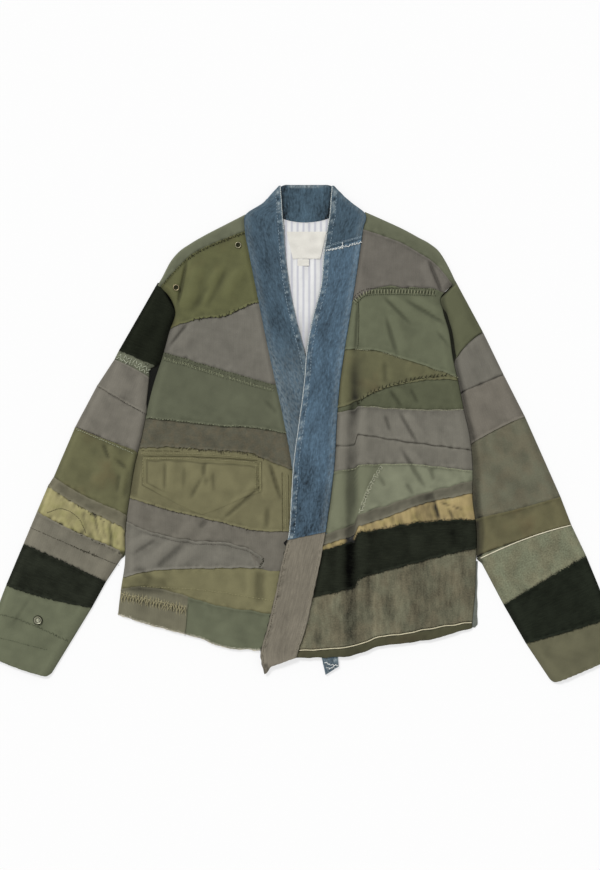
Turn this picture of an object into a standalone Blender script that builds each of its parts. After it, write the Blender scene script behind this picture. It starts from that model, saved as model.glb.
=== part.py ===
"""A strip-pieced patchwork jacket, laid flat on its back with its front up.

Run with: blender --background --python part.py
World axes: +X to the wearer's left sleeve, +Y from hem to collar, +Z up from the floor.
The origin is on the floor, at the middle of the jacket's outline. Tables are in millimetres.
"""

from collections import namedtuple

import bpy
import numpy as np

MM = 0.001

# Cloth walls and the air between them.
CLOTH = 1.8            # one patched layer with its backing
BAND = 2.8             # folded denim or twill of the front band
LINING_WALL = 1.0
LABEL_WALL = 0.8
FLAP_WALL = 1.5
GAP = 0.3              # air between layers that lie on each other
SEAM = 0.2             # each piece stops this far short of its seam line
SPLIT_SEAM = 0.8       # the same for a piece whose seam ends part-way along its neighbour
BESIDE = 1.6           # air between a sleeve and the body it lies beside
BACK_INSET = 3.0       # the back stops this far inside the fronts' folded sides
TOP_INSET = 1.5        # and this far below the shoulders' rolled edges
HEM_INSET = 6.0        # and this far above the fronts' hems

# Heights of the undersides of the layers, from the floor up.
FRONT_EDGE = CLOTH + GAP            # a front or sleeve at its folded edge
FRONT_RISE = 2.2                    # how much higher the rest of a front lies
SLEEVE_RISE = 3.2                   # and the rest of a sleeve
LINING_LIES = CLOTH + GAP
LABEL_LIES = LINING_LIES + LINING_WALL + GAP
BAND_LIES = LABEL_LIES
OVERLAP = BAND + GAP                # the left front lies on the right band by this much
ROLL = 14.0                         # width of the rounded fold at a side or sleeve edge
ROW = 30.0                          # height of a row of faces
ROUNDS = 60                         # how often two lines that depend on each other are read

# The neck: lowest point of the seam between back and neck band, and how it rises outwards.
NECK_X, NECK_Y = 5.0, 329.0
NECK_RISE, NECK_REACH = 6.0, 36.0

Cloth = namedtuple("Cloth", "red green blue roughness metal")
CLOTHS = {
    "grey twill": Cloth(0.45, 0.43, 0.39, 0.90, 0.0),
    "sage cotton": Cloth(0.38, 0.40, 0.32, 0.88, 0.0),
    "dark green cotton": Cloth(0.34, 0.35, 0.27, 0.88, 0.0),
    "pale sage cotton": Cloth(0.49, 0.49, 0.41, 0.88, 0.0),
    "olive sateen": Cloth(0.40, 0.39, 0.26, 0.78, 0.0),
    "khaki cotton": Cloth(0.46, 0.44, 0.32, 0.85, 0.0),
    "speckled wool": Cloth(0.36, 0.34, 0.29, 0.97, 0.0),
    "black felt": Cloth(0.13, 0.14, 0.11, 0.97, 0.0),
    "gold satin": Cloth(0.62, 0.56, 0.40, 0.45, 0.0),
    "worn canvas": Cloth(0.41, 0.40, 0.32, 0.95, 0.0),
    "taupe twill": Cloth(0.48, 0.45, 0.40, 0.90, 0.0),
    "denim": Cloth(0.30, 0.38, 0.45, 0.88, 0.0),
    "blue-grey cotton": Cloth(0.42, 0.45, 0.46, 0.90, 0.0),
    "white ticking": Cloth(0.88, 0.88, 0.86, 0.90, 0.0),
    "cream tape": Cloth(0.89, 0.88, 0.84, 0.85, 0.0),
    "snap metal": Cloth(0.60, 0.58, 0.50, 0.40, 1.0),
}


def smooth(t):
    """0 below 0, 1 above 1, and the soft step 3t^2 - 2t^3 between."""
    t = np.clip(t, 0.0, 1.0)
    return t * t * (3.0 - 2.0 * t)


def through(stations, values, at):
    """A smooth line through (station, value): cubic pieces whose slope is the mean of both sides."""
    s, v = np.asarray(stations, float), np.asarray(values, float)
    slope = np.gradient(v, s)
    at = np.clip(at, s[0], s[-1])
    k = np.clip(np.searchsorted(s, at) - 1, 0, len(s) - 2)
    h = s[k + 1] - s[k]
    t = (at - s[k]) / h
    return (
        (2 * t**3 - 3 * t**2 + 1) * v[k]
        + (t**3 - 2 * t**2 + t) * h * slope[k]
        + (3 * t**2 - 2 * t**3) * v[k + 1]
        + (t**3 - t**2) * h * slope[k + 1]
    )


# ---------------------------------------------------------------- outlines of the body

# How far the folded sides of the body reach, at each height y.
Side = namedtuple("Side", "y right left")
SIDES = [
    Side(-350, -288, 264), Side(-300, -287, 264), Side(-240, -281, 269), Side(-200, -275, 270),
    Side(-150, -274, 271), Side(-100, -268, 265), Side(-50, -260, 265), Side(0, -248, 260),
    Side(40, -240, 251), Side(80, -230, 243), Side(120, -217, 234), Side(160, -206, 228),
    Side(192, -197, 219), Side(214, -206, 214), Side(234, -223, 231), Side(242, -226, 236),
]

# The front band. The right band lies under the left one from the bottom of the V down.
Edge = namedtuple("Edge", "y under_outer under_inner over_inner over_outer")
BAND_EDGES = [
    Edge(-375, 37, 58, -58, -17), Edge(-340, 29, 56, -64, -7), Edge(-300, 17, 53, -54, 6),
    Edge(-240, 9, 48, -40, 19), Edge(-200, 4, 45, -32, 28), Edge(-155, -2, 40, -21, 36),
    Edge(-100, -9, 35, -17, 44), Edge(-40, -17, 28, -13, 51), Edge(20, -28, 22, -5, 54),
    Edge(80, -41, 14, 3, 59), Edge(130, -52, 4, 7, 66), Edge(180, -62, -9, 16, 74),
    Edge(230, -72, -19, 29, 82), Edge(285, -83, -26, 34, 90), Edge(320, -89, -28, 39, 95),
    Edge(343, -86, -30, 43, 98), Edge(360, -60, -31, 44, 77), Edge(373, -48, -32, 45, 62),
    Edge(386, -36, -33, 46, 50),
]

# The shoulders: the seam in front, and the edge where the back is rolled forward.
Shoulder = namedtuple("Shoulder", "x seam edge")
RIGHT_SHOULDER = [
    Shoulder(-223, 225, 234), Shoulder(-217, 232, 243), Shoulder(-205, 246, 267), Shoulder(-192, 260, 283),
    Shoulder(-174, 277, 296), Shoulder(-150, 291, 310), Shoulder(-119, 304, 326), Shoulder(-84, 317, 344),
]
LEFT_SHOULDER = [
    Shoulder(93, 319, 348), Shoulder(129, 307, 332), Shoulder(159, 295, 318), Shoulder(181, 282, 306),
    Shoulder(199, 271, 296), Shoulder(213, 258, 284), Shoulder(226, 242, 264), Shoulder(235, 230, 243),
]


def column(table, name):
    return [getattr(row, name) for row in table]


def side_edge(name, y):
    return through(column(SIDES, "y"), column(SIDES, name), y)


def band_edge(name, y):
    return through(column(BAND_EDGES, "y"), column(BAND_EDGES, name), y)


def shoulder_line(table, name, x):
    return through(column(table, "x"), column(table, name), x)


def neck_line(x):
    """The neck seam: a shallow parabola, lowest at the middle of the back."""
    return NECK_Y + NECK_RISE * ((x - NECK_X) / NECK_REACH) ** 2


# ---------------------------------------------------------------- seams across the fronts

# Height y of each seam of the right front where it crosses these x stations.
RIGHT_STATIONS = (-290, -240, -200, -160, -120, -80, -40, 0, 30)
RIGHT_SEAMS = {
    "olive to grey":       (120, 146, 167, 180, 184, 202, 212, 216, 218),
    "grey to sage":        (138, 133, 124, 112, 100, 88, 77, 66, 58),
    "sage to wool":        (26, 25, 22, 17, 13, 11, 5, -4, -10),
    "wool to khaki":       (-21, -20, -19, -22, -25, -28, -45, -60, -70),
    "khaki to grey":       (-92, -106, -118, -127, -137, -147, -150, -150, -150),
    "grey to leaf":        (-126, -148, -159, -165, -167, -178, -204, -209, -209),
    "leaf to khaki":       (-224, -212, -208, -207, -206, -206, -210, -213, -213),
    "khaki to hem pieces": (-239, -236, -243, -256, -267, -272, -280, -288, -292),
    "hem":                 (-277, -293, -304, -315, -329, -333, -335, -337, -338),
}

# The same for the left front. A soft pleat between x = 72 and 90 steps its seams.
LEFT_STATIONS = (-30, 40, 72, 90, 120, 160, 200, 240, 280)
PLEAT_X, PLEAT_TOP, PLEAT_FOOT = 80.0, 205.0, -250.0
LEFT_SEAMS = {
    "grey to sage":          (150, 176, 200, 219, 226, 224, 220, 206, 190),
    "sage to khaki wedge":   (132, 133, 133, 132, 130, 117, 104, 90, 76),
    "khaki to green wedge":  (22, 38, 46, 53, 69, 80, 85, 84, 70),
    "green wedge to grey":   (10, 28, 35, 40, 43, 40, 39, 40, 40),
    "grey to grey":          (-50, -27, -8, 1, -4, -11, -16, -21, -26),
    "grey to pale sage":     (-74, -60, -48, -46, -45, -45, -48, -53, -58),
    "pale sage to ribbon":   (-182, -150, -137, -125, -113, -100, -88, -77, -67),
    "ribbon to gold":        (-200, -172, -163, -144, -131, -116, -103, -95, -87),
    "gold to black":         (-207, -180, -170, -151, -147, -139, -134, -132, -133),
    "black to canvas":       (-262, -252, -245, -228, -213, -203, -192, -182, -174),
    "canvas to hem band":    (-334, -331, -328, -326, -320, -312, -306, -297, -287),
    "hem":                   (-346, -344, -341, -338, -331, -325, -319, -309, -297),
}

# The slanting seam that parts the two pale sage pieces, and the one that parts the hem pieces.
Cross = namedtuple("Cross", "y x")
SAGE_CROSS = [Cross(-135, 84), Cross(-104, 92), Cross(-72, 106), Cross(-40, 128)]
HEM_CROSS = [Cross(-320, -182), Cross(-245, -176)]
LEAF_TIP_X = -50.0


def right_seam(name, x):
    if name == "shoulder":
        return shoulder_line(RIGHT_SHOULDER, "seam", x)
    return through(RIGHT_STATIONS, RIGHT_SEAMS[name], x)


def left_seam(name, x):
    if name == "shoulder":
        return shoulder_line(LEFT_SHOULDER, "seam", x)
    return through(LEFT_STATIONS, LEFT_SEAMS[name], x)


# ---------------------------------------------------------------- folds

# The largest folds: soft ridges from (x0, y0) to (x1, y1).
Fold = namedtuple("Fold", "x0 y0 x1 y1 width height")
BODY_FOLDS = [
    Fold(-136, 268, -160, 205, 13, 2.6), Fold(-176, 266, -192, 190, 12, 2.4),
    Fold(-169, 176, -206, 134, 14, 2.4), Fold(-240, -214, -150, -135, 14, 2.4),
    Fold(-64, -195, -64, -272, 10, 1.4), Fold(-125, -130, -62, -78, 12, 1.6),
    Fold(PLEAT_X, PLEAT_TOP, PLEAT_X, PLEAT_FOOT, 10, 2.6), Fold(196, 268, 214, 226, 10, 3.0),
    Fold(124, 207, 163, 150, 13, 2.4), Fold(163, 204, 216, 158, 13, 2.4),
    Fold(127, 31, 142, -10, 12, 1.8), Fold(158, 31, 197, -62, 13, 2.2),
    Fold(150, -215, 165, -300, 14, 1.8), Fold(215, -195, 222, -290, 14, 1.6),
]
SLEEVE_FOLDS = [
    Fold(-235, 205, -262, 140, 13, 2.4), Fold(-262, 70, -300, 62, 12, 2.0),
    Fold(-284, -20, -330, -86, 13, 2.6), Fold(-300, -24, -352, -70, 12, 2.0),
    Fold(-330, -140, -388, -152, 13, 2.4), Fold(-360, -215, -430, -190, 13, 2.0),
    Fold(-398, -268, -446, -330, 14, 2.0), Fold(236, 180, 262, 142, 13, 2.4),
    Fold(262, 52, 300, 60, 12, 2.0), Fold(290, -30, 380, -80, 15, 2.4),
    Fold(300, -150, 390, -120, 13, 2.0), Fold(345, -240, 430, -205, 14, 2.4),
    Fold(380, -340, 452, -312, 14, 2.0),
]


def folded(folds, x, y):
    """Height added by the folds: a bell across each ridge line, faded over its end quarters."""
    height = np.zeros_like(x)
    for fold in folds:
        along = np.array([fold.x1 - fold.x0, fold.y1 - fold.y0])
        length = np.hypot(*along)
        along = along / length
        s = ((x - fold.x0) * along[0] + (y - fold.y0) * along[1]) / length
        across = (x - fold.x0) * along[1] - (y - fold.y0) * along[0]
        fade = smooth(s * 4.0) * smooth((1.0 - s) * 4.0)
        height += fold.height * fade * np.exp(-((across / fold.width) ** 2))
    return height


# ---------------------------------------------------------------- heights of the layers


LIFT_TOP, LIFT_LENGTH = 215.0, 60.0         # where the lift starts down the V, and its length
LIFT_WIDTH, LIFT_EASE = 36.0, 20.0          # how far it goes past the right band, and its easing
FLAT_BY_BAND, FLAT_EASE = 6.0, 30.0         # the right front has no folds beside the left band


def lifted(x, y):
    """1 where the left front lies on the right band, easing to 0 beside it and up the V."""
    past_band = band_edge("under_inner", y) + LIFT_WIDTH - x
    return smooth((LIFT_TOP - y) / LIFT_LENGTH) * smooth(past_band / LIFT_EASE)


def right_front_lies(x, y):
    rise = smooth((x - side_edge("right", y)) / ROLL)
    beside_band = smooth((band_edge("over_inner", y) - FLAT_BY_BAND - x) / FLAT_EASE)
    return FRONT_EDGE + FRONT_RISE * rise + folded(BODY_FOLDS, x, y) * rise * beside_band


def left_front_lies(x, y):
    rise = smooth((side_edge("left", y) - x) / ROLL)
    return FRONT_EDGE + FRONT_RISE * (rise + lifted(x, y)) + folded(BODY_FOLDS, x, y) * rise


TAIL_LANDS, TAIL_FALL = -372.0, 24.0        # where the right band's tail lies on the floor
END_FALLS, END_FALL, END_DROP = -352.0, 16.0, 4.0      # where the left band's end sinks, how far


def under_band_lies(x, y):
    """Flat on the lining, and down to the floor where its tail passes the hem."""
    return GAP + (BAND_LIES - GAP) * smooth((y - TAIL_LANDS) / TAIL_FALL)


def over_band_lies(x, y):
    """On the right band, and lower again where its end passes the hem."""
    return BAND_LIES + OVERLAP * lifted(x, y) - END_DROP * smooth((END_FALLS - y) / END_FALL)


def on_floor(x, y):
    return np.zeros_like(x)


# ---------------------------------------------------------------- meshes


def material_of(name, cloth):
    """The node's own Principled material, with its sRGB colour turned to linear."""
    finish = CLOTHS[cloth]
    material = bpy.data.materials.new(name)
    material.use_nodes = True
    shader = material.node_tree.nodes["Principled BSDF"]
    linear = [((c + 0.055) / 1.055) ** 2.4 for c in (finish.red, finish.green, finish.blue)]
    shader.inputs["Base Color"].default_value = (*linear, 1.0)
    shader.inputs["Roughness"].default_value = finish.roughness
    shader.inputs["Metallic"].default_value = finish.metal
    return material


def add_object(name, points, faces, cloth):
    """A closed mesh in the scene; its points come in millimetres."""
    mesh = bpy.data.meshes.new(name)
    mesh.from_pydata((points * MM).tolist(), [], faces)
    mesh.materials.append(material_of(name, cloth))
    mesh.shade_smooth()
    mesh.set_sharp_from_angle(angle=np.radians(40.0))
    bpy.context.scene.collection.objects.link(bpy.data.objects.new(name, mesh))


def plate(name, x, y, z, wall, cloth):
    """A cloth wall over a grid: its underside (x, y, z), the same raised by the wall, and a rim."""
    run_x, run_y = x[1, 0] - x[0, 0], y[1, 0] - y[0, 0]
    if run_x * (y[0, 1] - y[0, 0]) - run_y * (x[0, 1] - x[0, 0]) < 0:
        x, y, z = x[::-1], y[::-1], z[::-1]
    rows, cols = x.shape
    low = np.stack([x, y, z], axis=-1).reshape(-1, 3)
    high = low + (0.0, 0.0, wall)
    n = rows * cols
    index = np.arange(n).reshape(rows, cols)
    a, b, c, d = index[:-1, :-1], index[1:, :-1], index[1:, 1:], index[:-1, 1:]
    top = np.stack([a, b, c, d], axis=-1).reshape(-1, 4) + n
    bottom = np.stack([d, c, b, a], axis=-1).reshape(-1, 4)
    ring = np.concatenate([index[:, 0], index[-1, 1:], index[-2::-1, -1], index[0, -2:0:-1]])
    after = np.roll(ring, -1)
    rim = np.stack([ring, after, after + n, ring + n], axis=-1)
    faces = np.concatenate([top, bottom, rim]).tolist()
    add_object(name, np.concatenate([low, high]), faces, cloth)


def lay(name, grid, lies, wall, cloth):
    """A plate over a grid (x, y), whose underside lies at the height that lies gives there."""
    x, y = grid
    plate(name, x, y, lies(x, y), wall, cloth)


def between(lines, across, down, seam=SEAM):
    """The grid of (x, y) between two side lines x(y) and two seams y(x).

    lines is (first side, last side, upper seam, lower seam). x is read at y and y at x, so the
    two are repeated until they agree; half of each new x is taken, which keeps steep ends calm.
    """
    first, last, upper, lower = lines
    u, w = np.meshgrid(across, down, indexing="ij")
    x = np.full_like(u, (first(np.array(0.0)) + last(np.array(0.0))) / 2.0)
    y = np.zeros_like(u)
    for _ in range(ROUNDS):
        y = (upper(x) - seam) * (1.0 - w) + (lower(x) + seam) * w
        x = 0.5 * x + 0.5 * ((first(y) + seam) * (1.0 - u) + (last(y) - seam) * u)
    return x, y


def spread(count, first_edge=0.0, last_edge=0.0):
    """Parameters from 0 to 1, with one more close to each rolled edge at that share of the width."""
    values = set(np.linspace(0.0, 1.0, count + 1))
    values |= {first_edge, 1.0 - last_edge}
    return np.array(sorted(values))


# ---------------------------------------------------------------- back, side strip and neck


HEMS_MEET_X = -20.0         # the right front's hem ends here, under the left one
STRIP_TOP, STRIP_FOOT, STRIP_INNER, STRIP_OUTER = -196.0, -299.0, 260.0, 272.5
BACK_BY_STRIP_X = 255.0     # the back's side beside the strip
DRAWN_IN_FROM, DRAWN_IN_OVER = -146.0, 40.0     # height from which it draws in, and over how much
SHOULDER_SHARE = 0.175      # share of the back's height that has closer rows


def back_top(x):
    right = shoulder_line(RIGHT_SHOULDER, "edge", x)
    left = shoulder_line(LEFT_SHOULDER, "edge", x)
    return np.minimum(np.where(x < NECK_X, right, left), neck_line(x)) - TOP_INSET


def back_hem(x):
    return np.where(x < HEMS_MEET_X, right_seam("hem", x), left_seam("hem", x)) + HEM_INSET


def back_left_side(y):
    """The back's left side, drawn in where the side strip takes its place."""
    strip = smooth((DRAWN_IN_FROM - y) / DRAWN_IN_OVER)
    return (side_edge("left", y) - BACK_INSET) * (1.0 - strip) + BACK_BY_STRIP_X * strip


def build_back():
    lines = (lambda y: side_edge("right", y) + BACK_INSET, back_left_side, back_top, back_hem)
    down = np.union1d(np.linspace(0.0, SHOULDER_SHARE, 5), np.linspace(SHOULDER_SHARE, 1.0, 8))
    lay("back_panel", between(lines, np.linspace(0, 1, 17), down), on_floor, CLOTH, "sage cotton")
    heights = np.linspace(STRIP_TOP, STRIP_FOOT, 4)
    grid = np.meshgrid([STRIP_INNER, STRIP_OUTER], heights, indexing="ij")
    lay("side_strip", grid, on_floor, CLOTH, "blue-grey cotton")


COLLAR_STATIONS = (-58, -46, -34, 6, 47, 60, 72)
COLLAR_TOP = (359, 373, 383, 386, 384, 374, 362)
COLLAR_RIGHT_X, COLLAR_LEFT_X = -57.0, 70.0
STRIP_BAND_TOP = 336.0      # above this the shoulder strips' ends by the band run straight up


def build_neck():
    lines = (
        lambda y: np.full_like(y, COLLAR_RIGHT_X),
        lambda y: np.full_like(y, COLLAR_LEFT_X),
        lambda x: through(COLLAR_STATIONS, COLLAR_TOP, x),
        lambda x: neck_line(x) + GAP,
    )
    grid = between(lines, np.linspace(0, 1, 11), np.linspace(0, 1, 4))
    lay("neck_band", grid, on_floor, BAND, "denim")
    band_side = lambda name: (lambda y: band_edge(name, np.minimum(y, STRIP_BAND_TOP)))
    sleeve_side = lambda x: (lambda y: np.full_like(y, x))
    for side, table, first, last in (
        ("right", RIGHT_SHOULDER, sleeve_side(RIGHT_SHOULDER[0].x), band_side("under_outer")),
        ("left", LEFT_SHOULDER, band_side("over_outer"), sleeve_side(LEFT_SHOULDER[-1].x)),
    ):
        lies = right_front_lies if side == "right" else left_front_lies
        edge = lambda x, t=table: shoulder_line(t, "edge", x)
        seam = lambda x, t=table: shoulder_line(t, "seam", x)
        across, down = np.linspace(0, 1, 10), np.linspace(0, 1, 3)
        grid = between((first, last, edge, seam), across, down, SPLIT_SEAM)
        lay(f"{side}_shoulder_strip", grid, lies, CLOTH, "sage cotton")


# ---------------------------------------------------------------- fronts

Strip = namedtuple("Strip", "node upper lower cloth")
RIGHT_STRIPS = [
    Strip("right_front_olive_yoke", "shoulder", "olive to grey", "olive sateen"),
    Strip("right_front_grey_upper", "olive to grey", "grey to sage", "grey twill"),
    Strip("right_front_sage", "grey to sage", "sage to wool", "sage cotton"),
    Strip("right_front_wool", "sage to wool", "wool to khaki", "speckled wool"),
    Strip("right_front_khaki_pocket", "wool to khaki", "khaki to grey", "khaki cotton"),
    Strip("right_front_grey_middle", "khaki to grey", "grey to leaf", "grey twill"),
    Strip("right_front_grey_leaf", "grey to leaf", "leaf to khaki", "grey twill"),
    Strip("right_front_khaki_lower", "leaf to khaki", "khaki to hem pieces", "khaki cotton"),
    Strip("right_front_hem_taupe", "khaki to hem pieces", "hem", "taupe twill"),
    Strip("right_front_hem_sage", "khaki to hem pieces", "hem", "sage cotton"),
]
LEFT_STRIPS = [
    Strip("left_front_grey_yoke", "shoulder", "grey to sage", "grey twill"),
    Strip("left_front_sage", "grey to sage", "sage to khaki wedge", "sage cotton"),
    Strip("left_front_khaki_wedge", "sage to khaki wedge", "khaki to green wedge", "olive sateen"),
    Strip("left_front_green_wedge", "khaki to green wedge", "green wedge to grey", "dark green cotton"),
    Strip("left_front_grey_upper", "green wedge to grey", "grey to grey", "grey twill"),
    Strip("left_front_grey_lower", "grey to grey", "grey to pale sage", "grey twill"),
    Strip("left_front_sage_dark", "grey to pale sage", "pale sage to ribbon", "sage cotton"),
    Strip("left_front_sage_pale", "grey to pale sage", "pale sage to ribbon", "pale sage cotton"),
    Strip("left_front_ribbon", "pale sage to ribbon", "ribbon to gold", "speckled wool"),
    Strip("left_front_gold", "ribbon to gold", "gold to black", "gold satin"),
    Strip("left_front_black", "gold to black", "black to canvas", "black felt"),
    Strip("left_front_canvas", "black to canvas", "canvas to hem band", "worn canvas"),
    Strip("left_front_hem_band", "canvas to hem band", "hem", "olive sateen"),
]


def cross_line(table):
    return lambda y: through(column(table, "y"), column(table, "x"), y)


def rows_for(upper, lower, at):
    """More rows on a tall strip: one for about every ROW, and two at least."""
    tall = float(abs(upper(np.array(at)) - lower(np.array(at))))
    return np.linspace(0.0, 1.0, max(2, int(round(tall / ROW))) + 1)


RIGHT_MEASURED_X, LEFT_MEASURED_X = -140.0, 160.0     # where a strip's height is measured


def build_right_front():
    for strip in RIGHT_STRIPS:
        first = lambda y: side_edge("right", y)
        last = lambda y: band_edge("under_outer", y)
        across, seam = spread(11, first_edge=0.03), SEAM
        if strip.node == "right_front_grey_leaf":
            last, seam = lambda y: np.full_like(y, LEAF_TIP_X), SPLIT_SEAM
        if strip.node == "right_front_hem_taupe":
            last, across, seam = cross_line(HEM_CROSS), spread(5, first_edge=0.05), SPLIT_SEAM
        if strip.node == "right_front_hem_sage":
            first, across, seam = cross_line(HEM_CROSS), spread(8), SPLIT_SEAM
        upper = lambda x, name=strip.upper: right_seam(name, x)
        lower = lambda x, name=strip.lower: right_seam(name, x)
        down = rows_for(upper, lower, RIGHT_MEASURED_X)
        grid = between((first, last, upper, lower), across, down, seam)
        lay(strip.node, grid, right_front_lies, CLOTH, strip.cloth)


def build_left_front():
    for strip in LEFT_STRIPS:
        first = lambda y: band_edge("over_outer", y)
        last = lambda y: side_edge("left", y)
        across, seam = spread(12, last_edge=0.03), SEAM
        if strip.node == "left_front_sage_dark":
            last, across, seam = cross_line(SAGE_CROSS), spread(5), SPLIT_SEAM
        if strip.node == "left_front_sage_pale":
            first, across, seam = cross_line(SAGE_CROSS), spread(8, last_edge=0.04), SPLIT_SEAM
        upper = lambda x, name=strip.upper: left_seam(name, x)
        lower = lambda x, name=strip.lower: left_seam(name, x)
        down = rows_for(upper, lower, LEFT_MEASURED_X)
        grid = between((first, last, upper, lower), across, down, seam)
        lay(strip.node, grid, left_front_lies, CLOTH, strip.cloth)


# The flap of the pocket on the khaki piece: its two ends, and its pointed lower edge.
FLAP_STATIONS = (-248, -225, -160, -124, -84, -60)
FLAP_FOOT = (-82, -94, -124, -124, -98, -87)
FLAP_BELOW = 13.0           # how far its top lies below the seam above it
FLAP_TOP_RISE, RISE_FROM_X, RISE_OVER = 8.0, -75.0, 15.0      # and how it rises at the band's end


def flap_top(x):
    rise = FLAP_TOP_RISE * smooth((x - RISE_FROM_X) / RISE_OVER)
    return right_seam("wool to khaki", x) - FLAP_BELOW + rise


def build_pocket_flap():
    lines = (
        lambda y: np.full_like(y, FLAP_STATIONS[0]),
        lambda y: np.full_like(y, FLAP_STATIONS[-1]),
        flap_top,
        lambda x: np.interp(x, FLAP_STATIONS, FLAP_FOOT),
    )
    lies = lambda x, y: right_front_lies(x, y) + CLOTH + 3.0 * GAP
    grid = between(lines, spread(11), np.linspace(0, 1, 4))
    lay("pocket_flap", grid, lies, FLAP_WALL, "khaki cotton")


# ---------------------------------------------------------------- bands, lining and labels

COLLAR_Y = 386.0
TAIL_X, TAIL_Y, TAIL_SLOPE = 37.0, -372.0, 0.64   # slanted end of the right band
TAUPE_END_X, TAUPE_END_Y, TAUPE_END_SLOPE = -7.0, -344.0, 0.5   # slanted end of the left band
CROSS_SEAM_Y, CROSS_SEAM_SLOPE = 278.0, 0.28      # denim to denim, high on the left band
TAUPE_SEAM_Y, TAUPE_SEAM_SLOPE = -158.0, 0.21     # denim to taupe, low on the left band
LINING_UNDER = 8.0                                # how far the lining goes under the bands
LINING_FOOT = 112.0


def band_piece(node, edges, ends, lies, cloth, rows, collar_rows=0, collar_share=0.0):
    """One length of the band, with closer rows over the share of it that turns the collar."""
    lines = (lambda y: band_edge(edges[0], y), lambda y: band_edge(edges[1], y), *ends)
    collar = np.linspace(0.0, collar_share, collar_rows + 1)
    down = np.union1d(collar, np.linspace(collar_share, 1.0, rows + 1))
    lay(node, between(lines, np.linspace(0, 1, 4), down), lies, BAND, cloth)


def build_bands():
    collar = lambda x: np.full_like(x, COLLAR_Y)
    tail = lambda x: TAIL_Y + TAIL_SLOPE * (x - TAIL_X)
    taupe_end = lambda x: TAUPE_END_Y + TAUPE_END_SLOPE * (x - TAUPE_END_X)
    cross_seam = lambda x: CROSS_SEAM_Y + CROSS_SEAM_SLOPE * x
    taupe_seam = lambda x: TAUPE_SEAM_Y + TAUPE_SEAM_SLOPE * x
    under, over = ("under_outer", "under_inner"), ("over_inner", "over_outer")
    band_piece("right_band_denim", under, (collar, tail), under_band_lies, "denim", 21, 6, 0.08)
    band_piece("left_band_denim_top", over, (collar, cross_seam), over_band_lies, "denim", 2, 6, 0.6)
    band_piece("left_band_denim", over, (cross_seam, taupe_seam), over_band_lies, "denim", 15)
    band_piece("left_band_taupe", over, (taupe_seam, taupe_end), over_band_lies, "taupe twill", 9)


def build_lining_and_labels():
    lines = (
        lambda y: band_edge("under_inner", y) - LINING_UNDER,
        lambda y: band_edge("over_inner", y) + LINING_UNDER,
        neck_line,
        lambda x: np.full_like(x, LINING_FOOT),
    )
    lies = lambda x, y: np.full_like(x, LINING_LIES)
    grid = between(lines, np.linspace(0, 1, 5), np.linspace(0, 1, 9))
    lay("lining", grid, lies, LINING_WALL, "white ticking")
    for node, top, foot, half_top, half_foot, middle in (
        ("label", 315.0, 273.0, 31.0, 21.5, 7.0),
        ("size_tab", 272.2, 262.0, 9.0, 9.0, 2.0),
    ):
        u, w = np.meshgrid([-1.0, 1.0], [0.0, 1.0], indexing="ij")
        x = middle + u * (half_top * (1.0 - w) + half_foot * w)
        y = top + (foot - top) * w
        plate(node, x, y, np.full_like(x, LABEL_LIES), LABEL_WALL, "cream tape")


# ---------------------------------------------------------------- sleeves

# Seams round each sleeve from armhole to cuff: on the outer fold, the middle and the inner fold.
Ring = namedtuple("Ring", "outer_x outer_y mid_x mid_y inner_x inner_y")
RIGHT_RINGS = [
    Ring(-225, 235, -213, 222, -198, 192),
    Ring(-284, 131, -258, 120, -237, 106),
    Ring(-291, 117, -264, 105, -237, 89),
    Ring(-318, 76, -278, 52, -243, 31),
    Ring(-352, 12, -309, -6, -256, -29),
    Ring(-385, -65, -337, -95, -274, -127),
    Ring(-394, -79, -344, -111, -275, -150),
    Ring(-411, -119, -354, -149, -277, -187),
    Ring(-432, -169, -368, -197, -304, -228),
    Ring(-459, -233, -399, -252, -326, -268),
    Ring(-498, -336, -446, -360, -392, -376),
]
RIGHT_PIECES = [
    ("right_sleeve_black_felt", "black felt"),
    ("right_sleeve_sage_strip", "sage cotton"),
    ("right_sleeve_grey_upper", "grey twill"),
    ("right_sleeve_grey_middle", "grey twill"),
    ("right_sleeve_olive", "olive sateen"),
    ("right_sleeve_ribbon", "speckled wool"),
    ("right_sleeve_gold", "gold satin"),
    ("right_sleeve_grey_lower", "grey twill"),
    ("right_sleeve_black_wool", "black felt"),
    ("right_cuff_sage", "sage cotton"),
]
LEFT_RINGS = [
    Ring(241, 236, 231, 226, 216, 214),
    Ring(281, 159, 257, 141, 240, 118),
    Ring(313, 93, 288, 83, 254, 64),
    Ring(346, 28, 305, 10, 272, -15),
    Ring(401, -96, 342, -113, 281, -131),
    Ring(418, -140, 350, -160, 275, -192),
    Ring(441, -188, 385, -220, 313, -264),
    Ring(480, -283, 414, -304, 347, -323),
    Ring(498, -338, 448, -362, 389, -386),
]
LEFT_PIECES = [
    ("left_sleeve_olive", "olive sateen"),
    ("left_sleeve_grey_upper", "grey twill"),
    ("left_sleeve_grey_lower", "grey twill"),
    ("left_sleeve_canvas", "worn canvas"),
    ("left_sleeve_khaki", "olive sateen"),
    ("left_sleeve_worn", "worn canvas"),
    ("left_sleeve_black", "black felt"),
    ("left_cuff_olive", "olive sateen"),
]


def ring_line(ring, u):
    """The seam at u, 0 on the outer fold and 1 on the inner: the parabola through its three points."""
    a, b, c = (1 - u) * (1 - 2 * u), 4 * u * (1 - u), u * (2 * u - 1)
    x = a * ring.outer_x + b * ring.mid_x + c * ring.inner_x
    y = a * ring.outer_y + b * ring.mid_y + c * ring.inner_y
    return x, y


def clear_of_body(side, x, y):
    """The sleeve lies beside the body: its x is kept off the body's folded side."""
    edge = side_edge(side, y)
    return np.minimum(x, edge - BESIDE) if side == "right" else np.maximum(x, edge + BESIDE)


UNDER_INSET = 0.012         # share of the width by which the underside stops inside each fold


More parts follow.
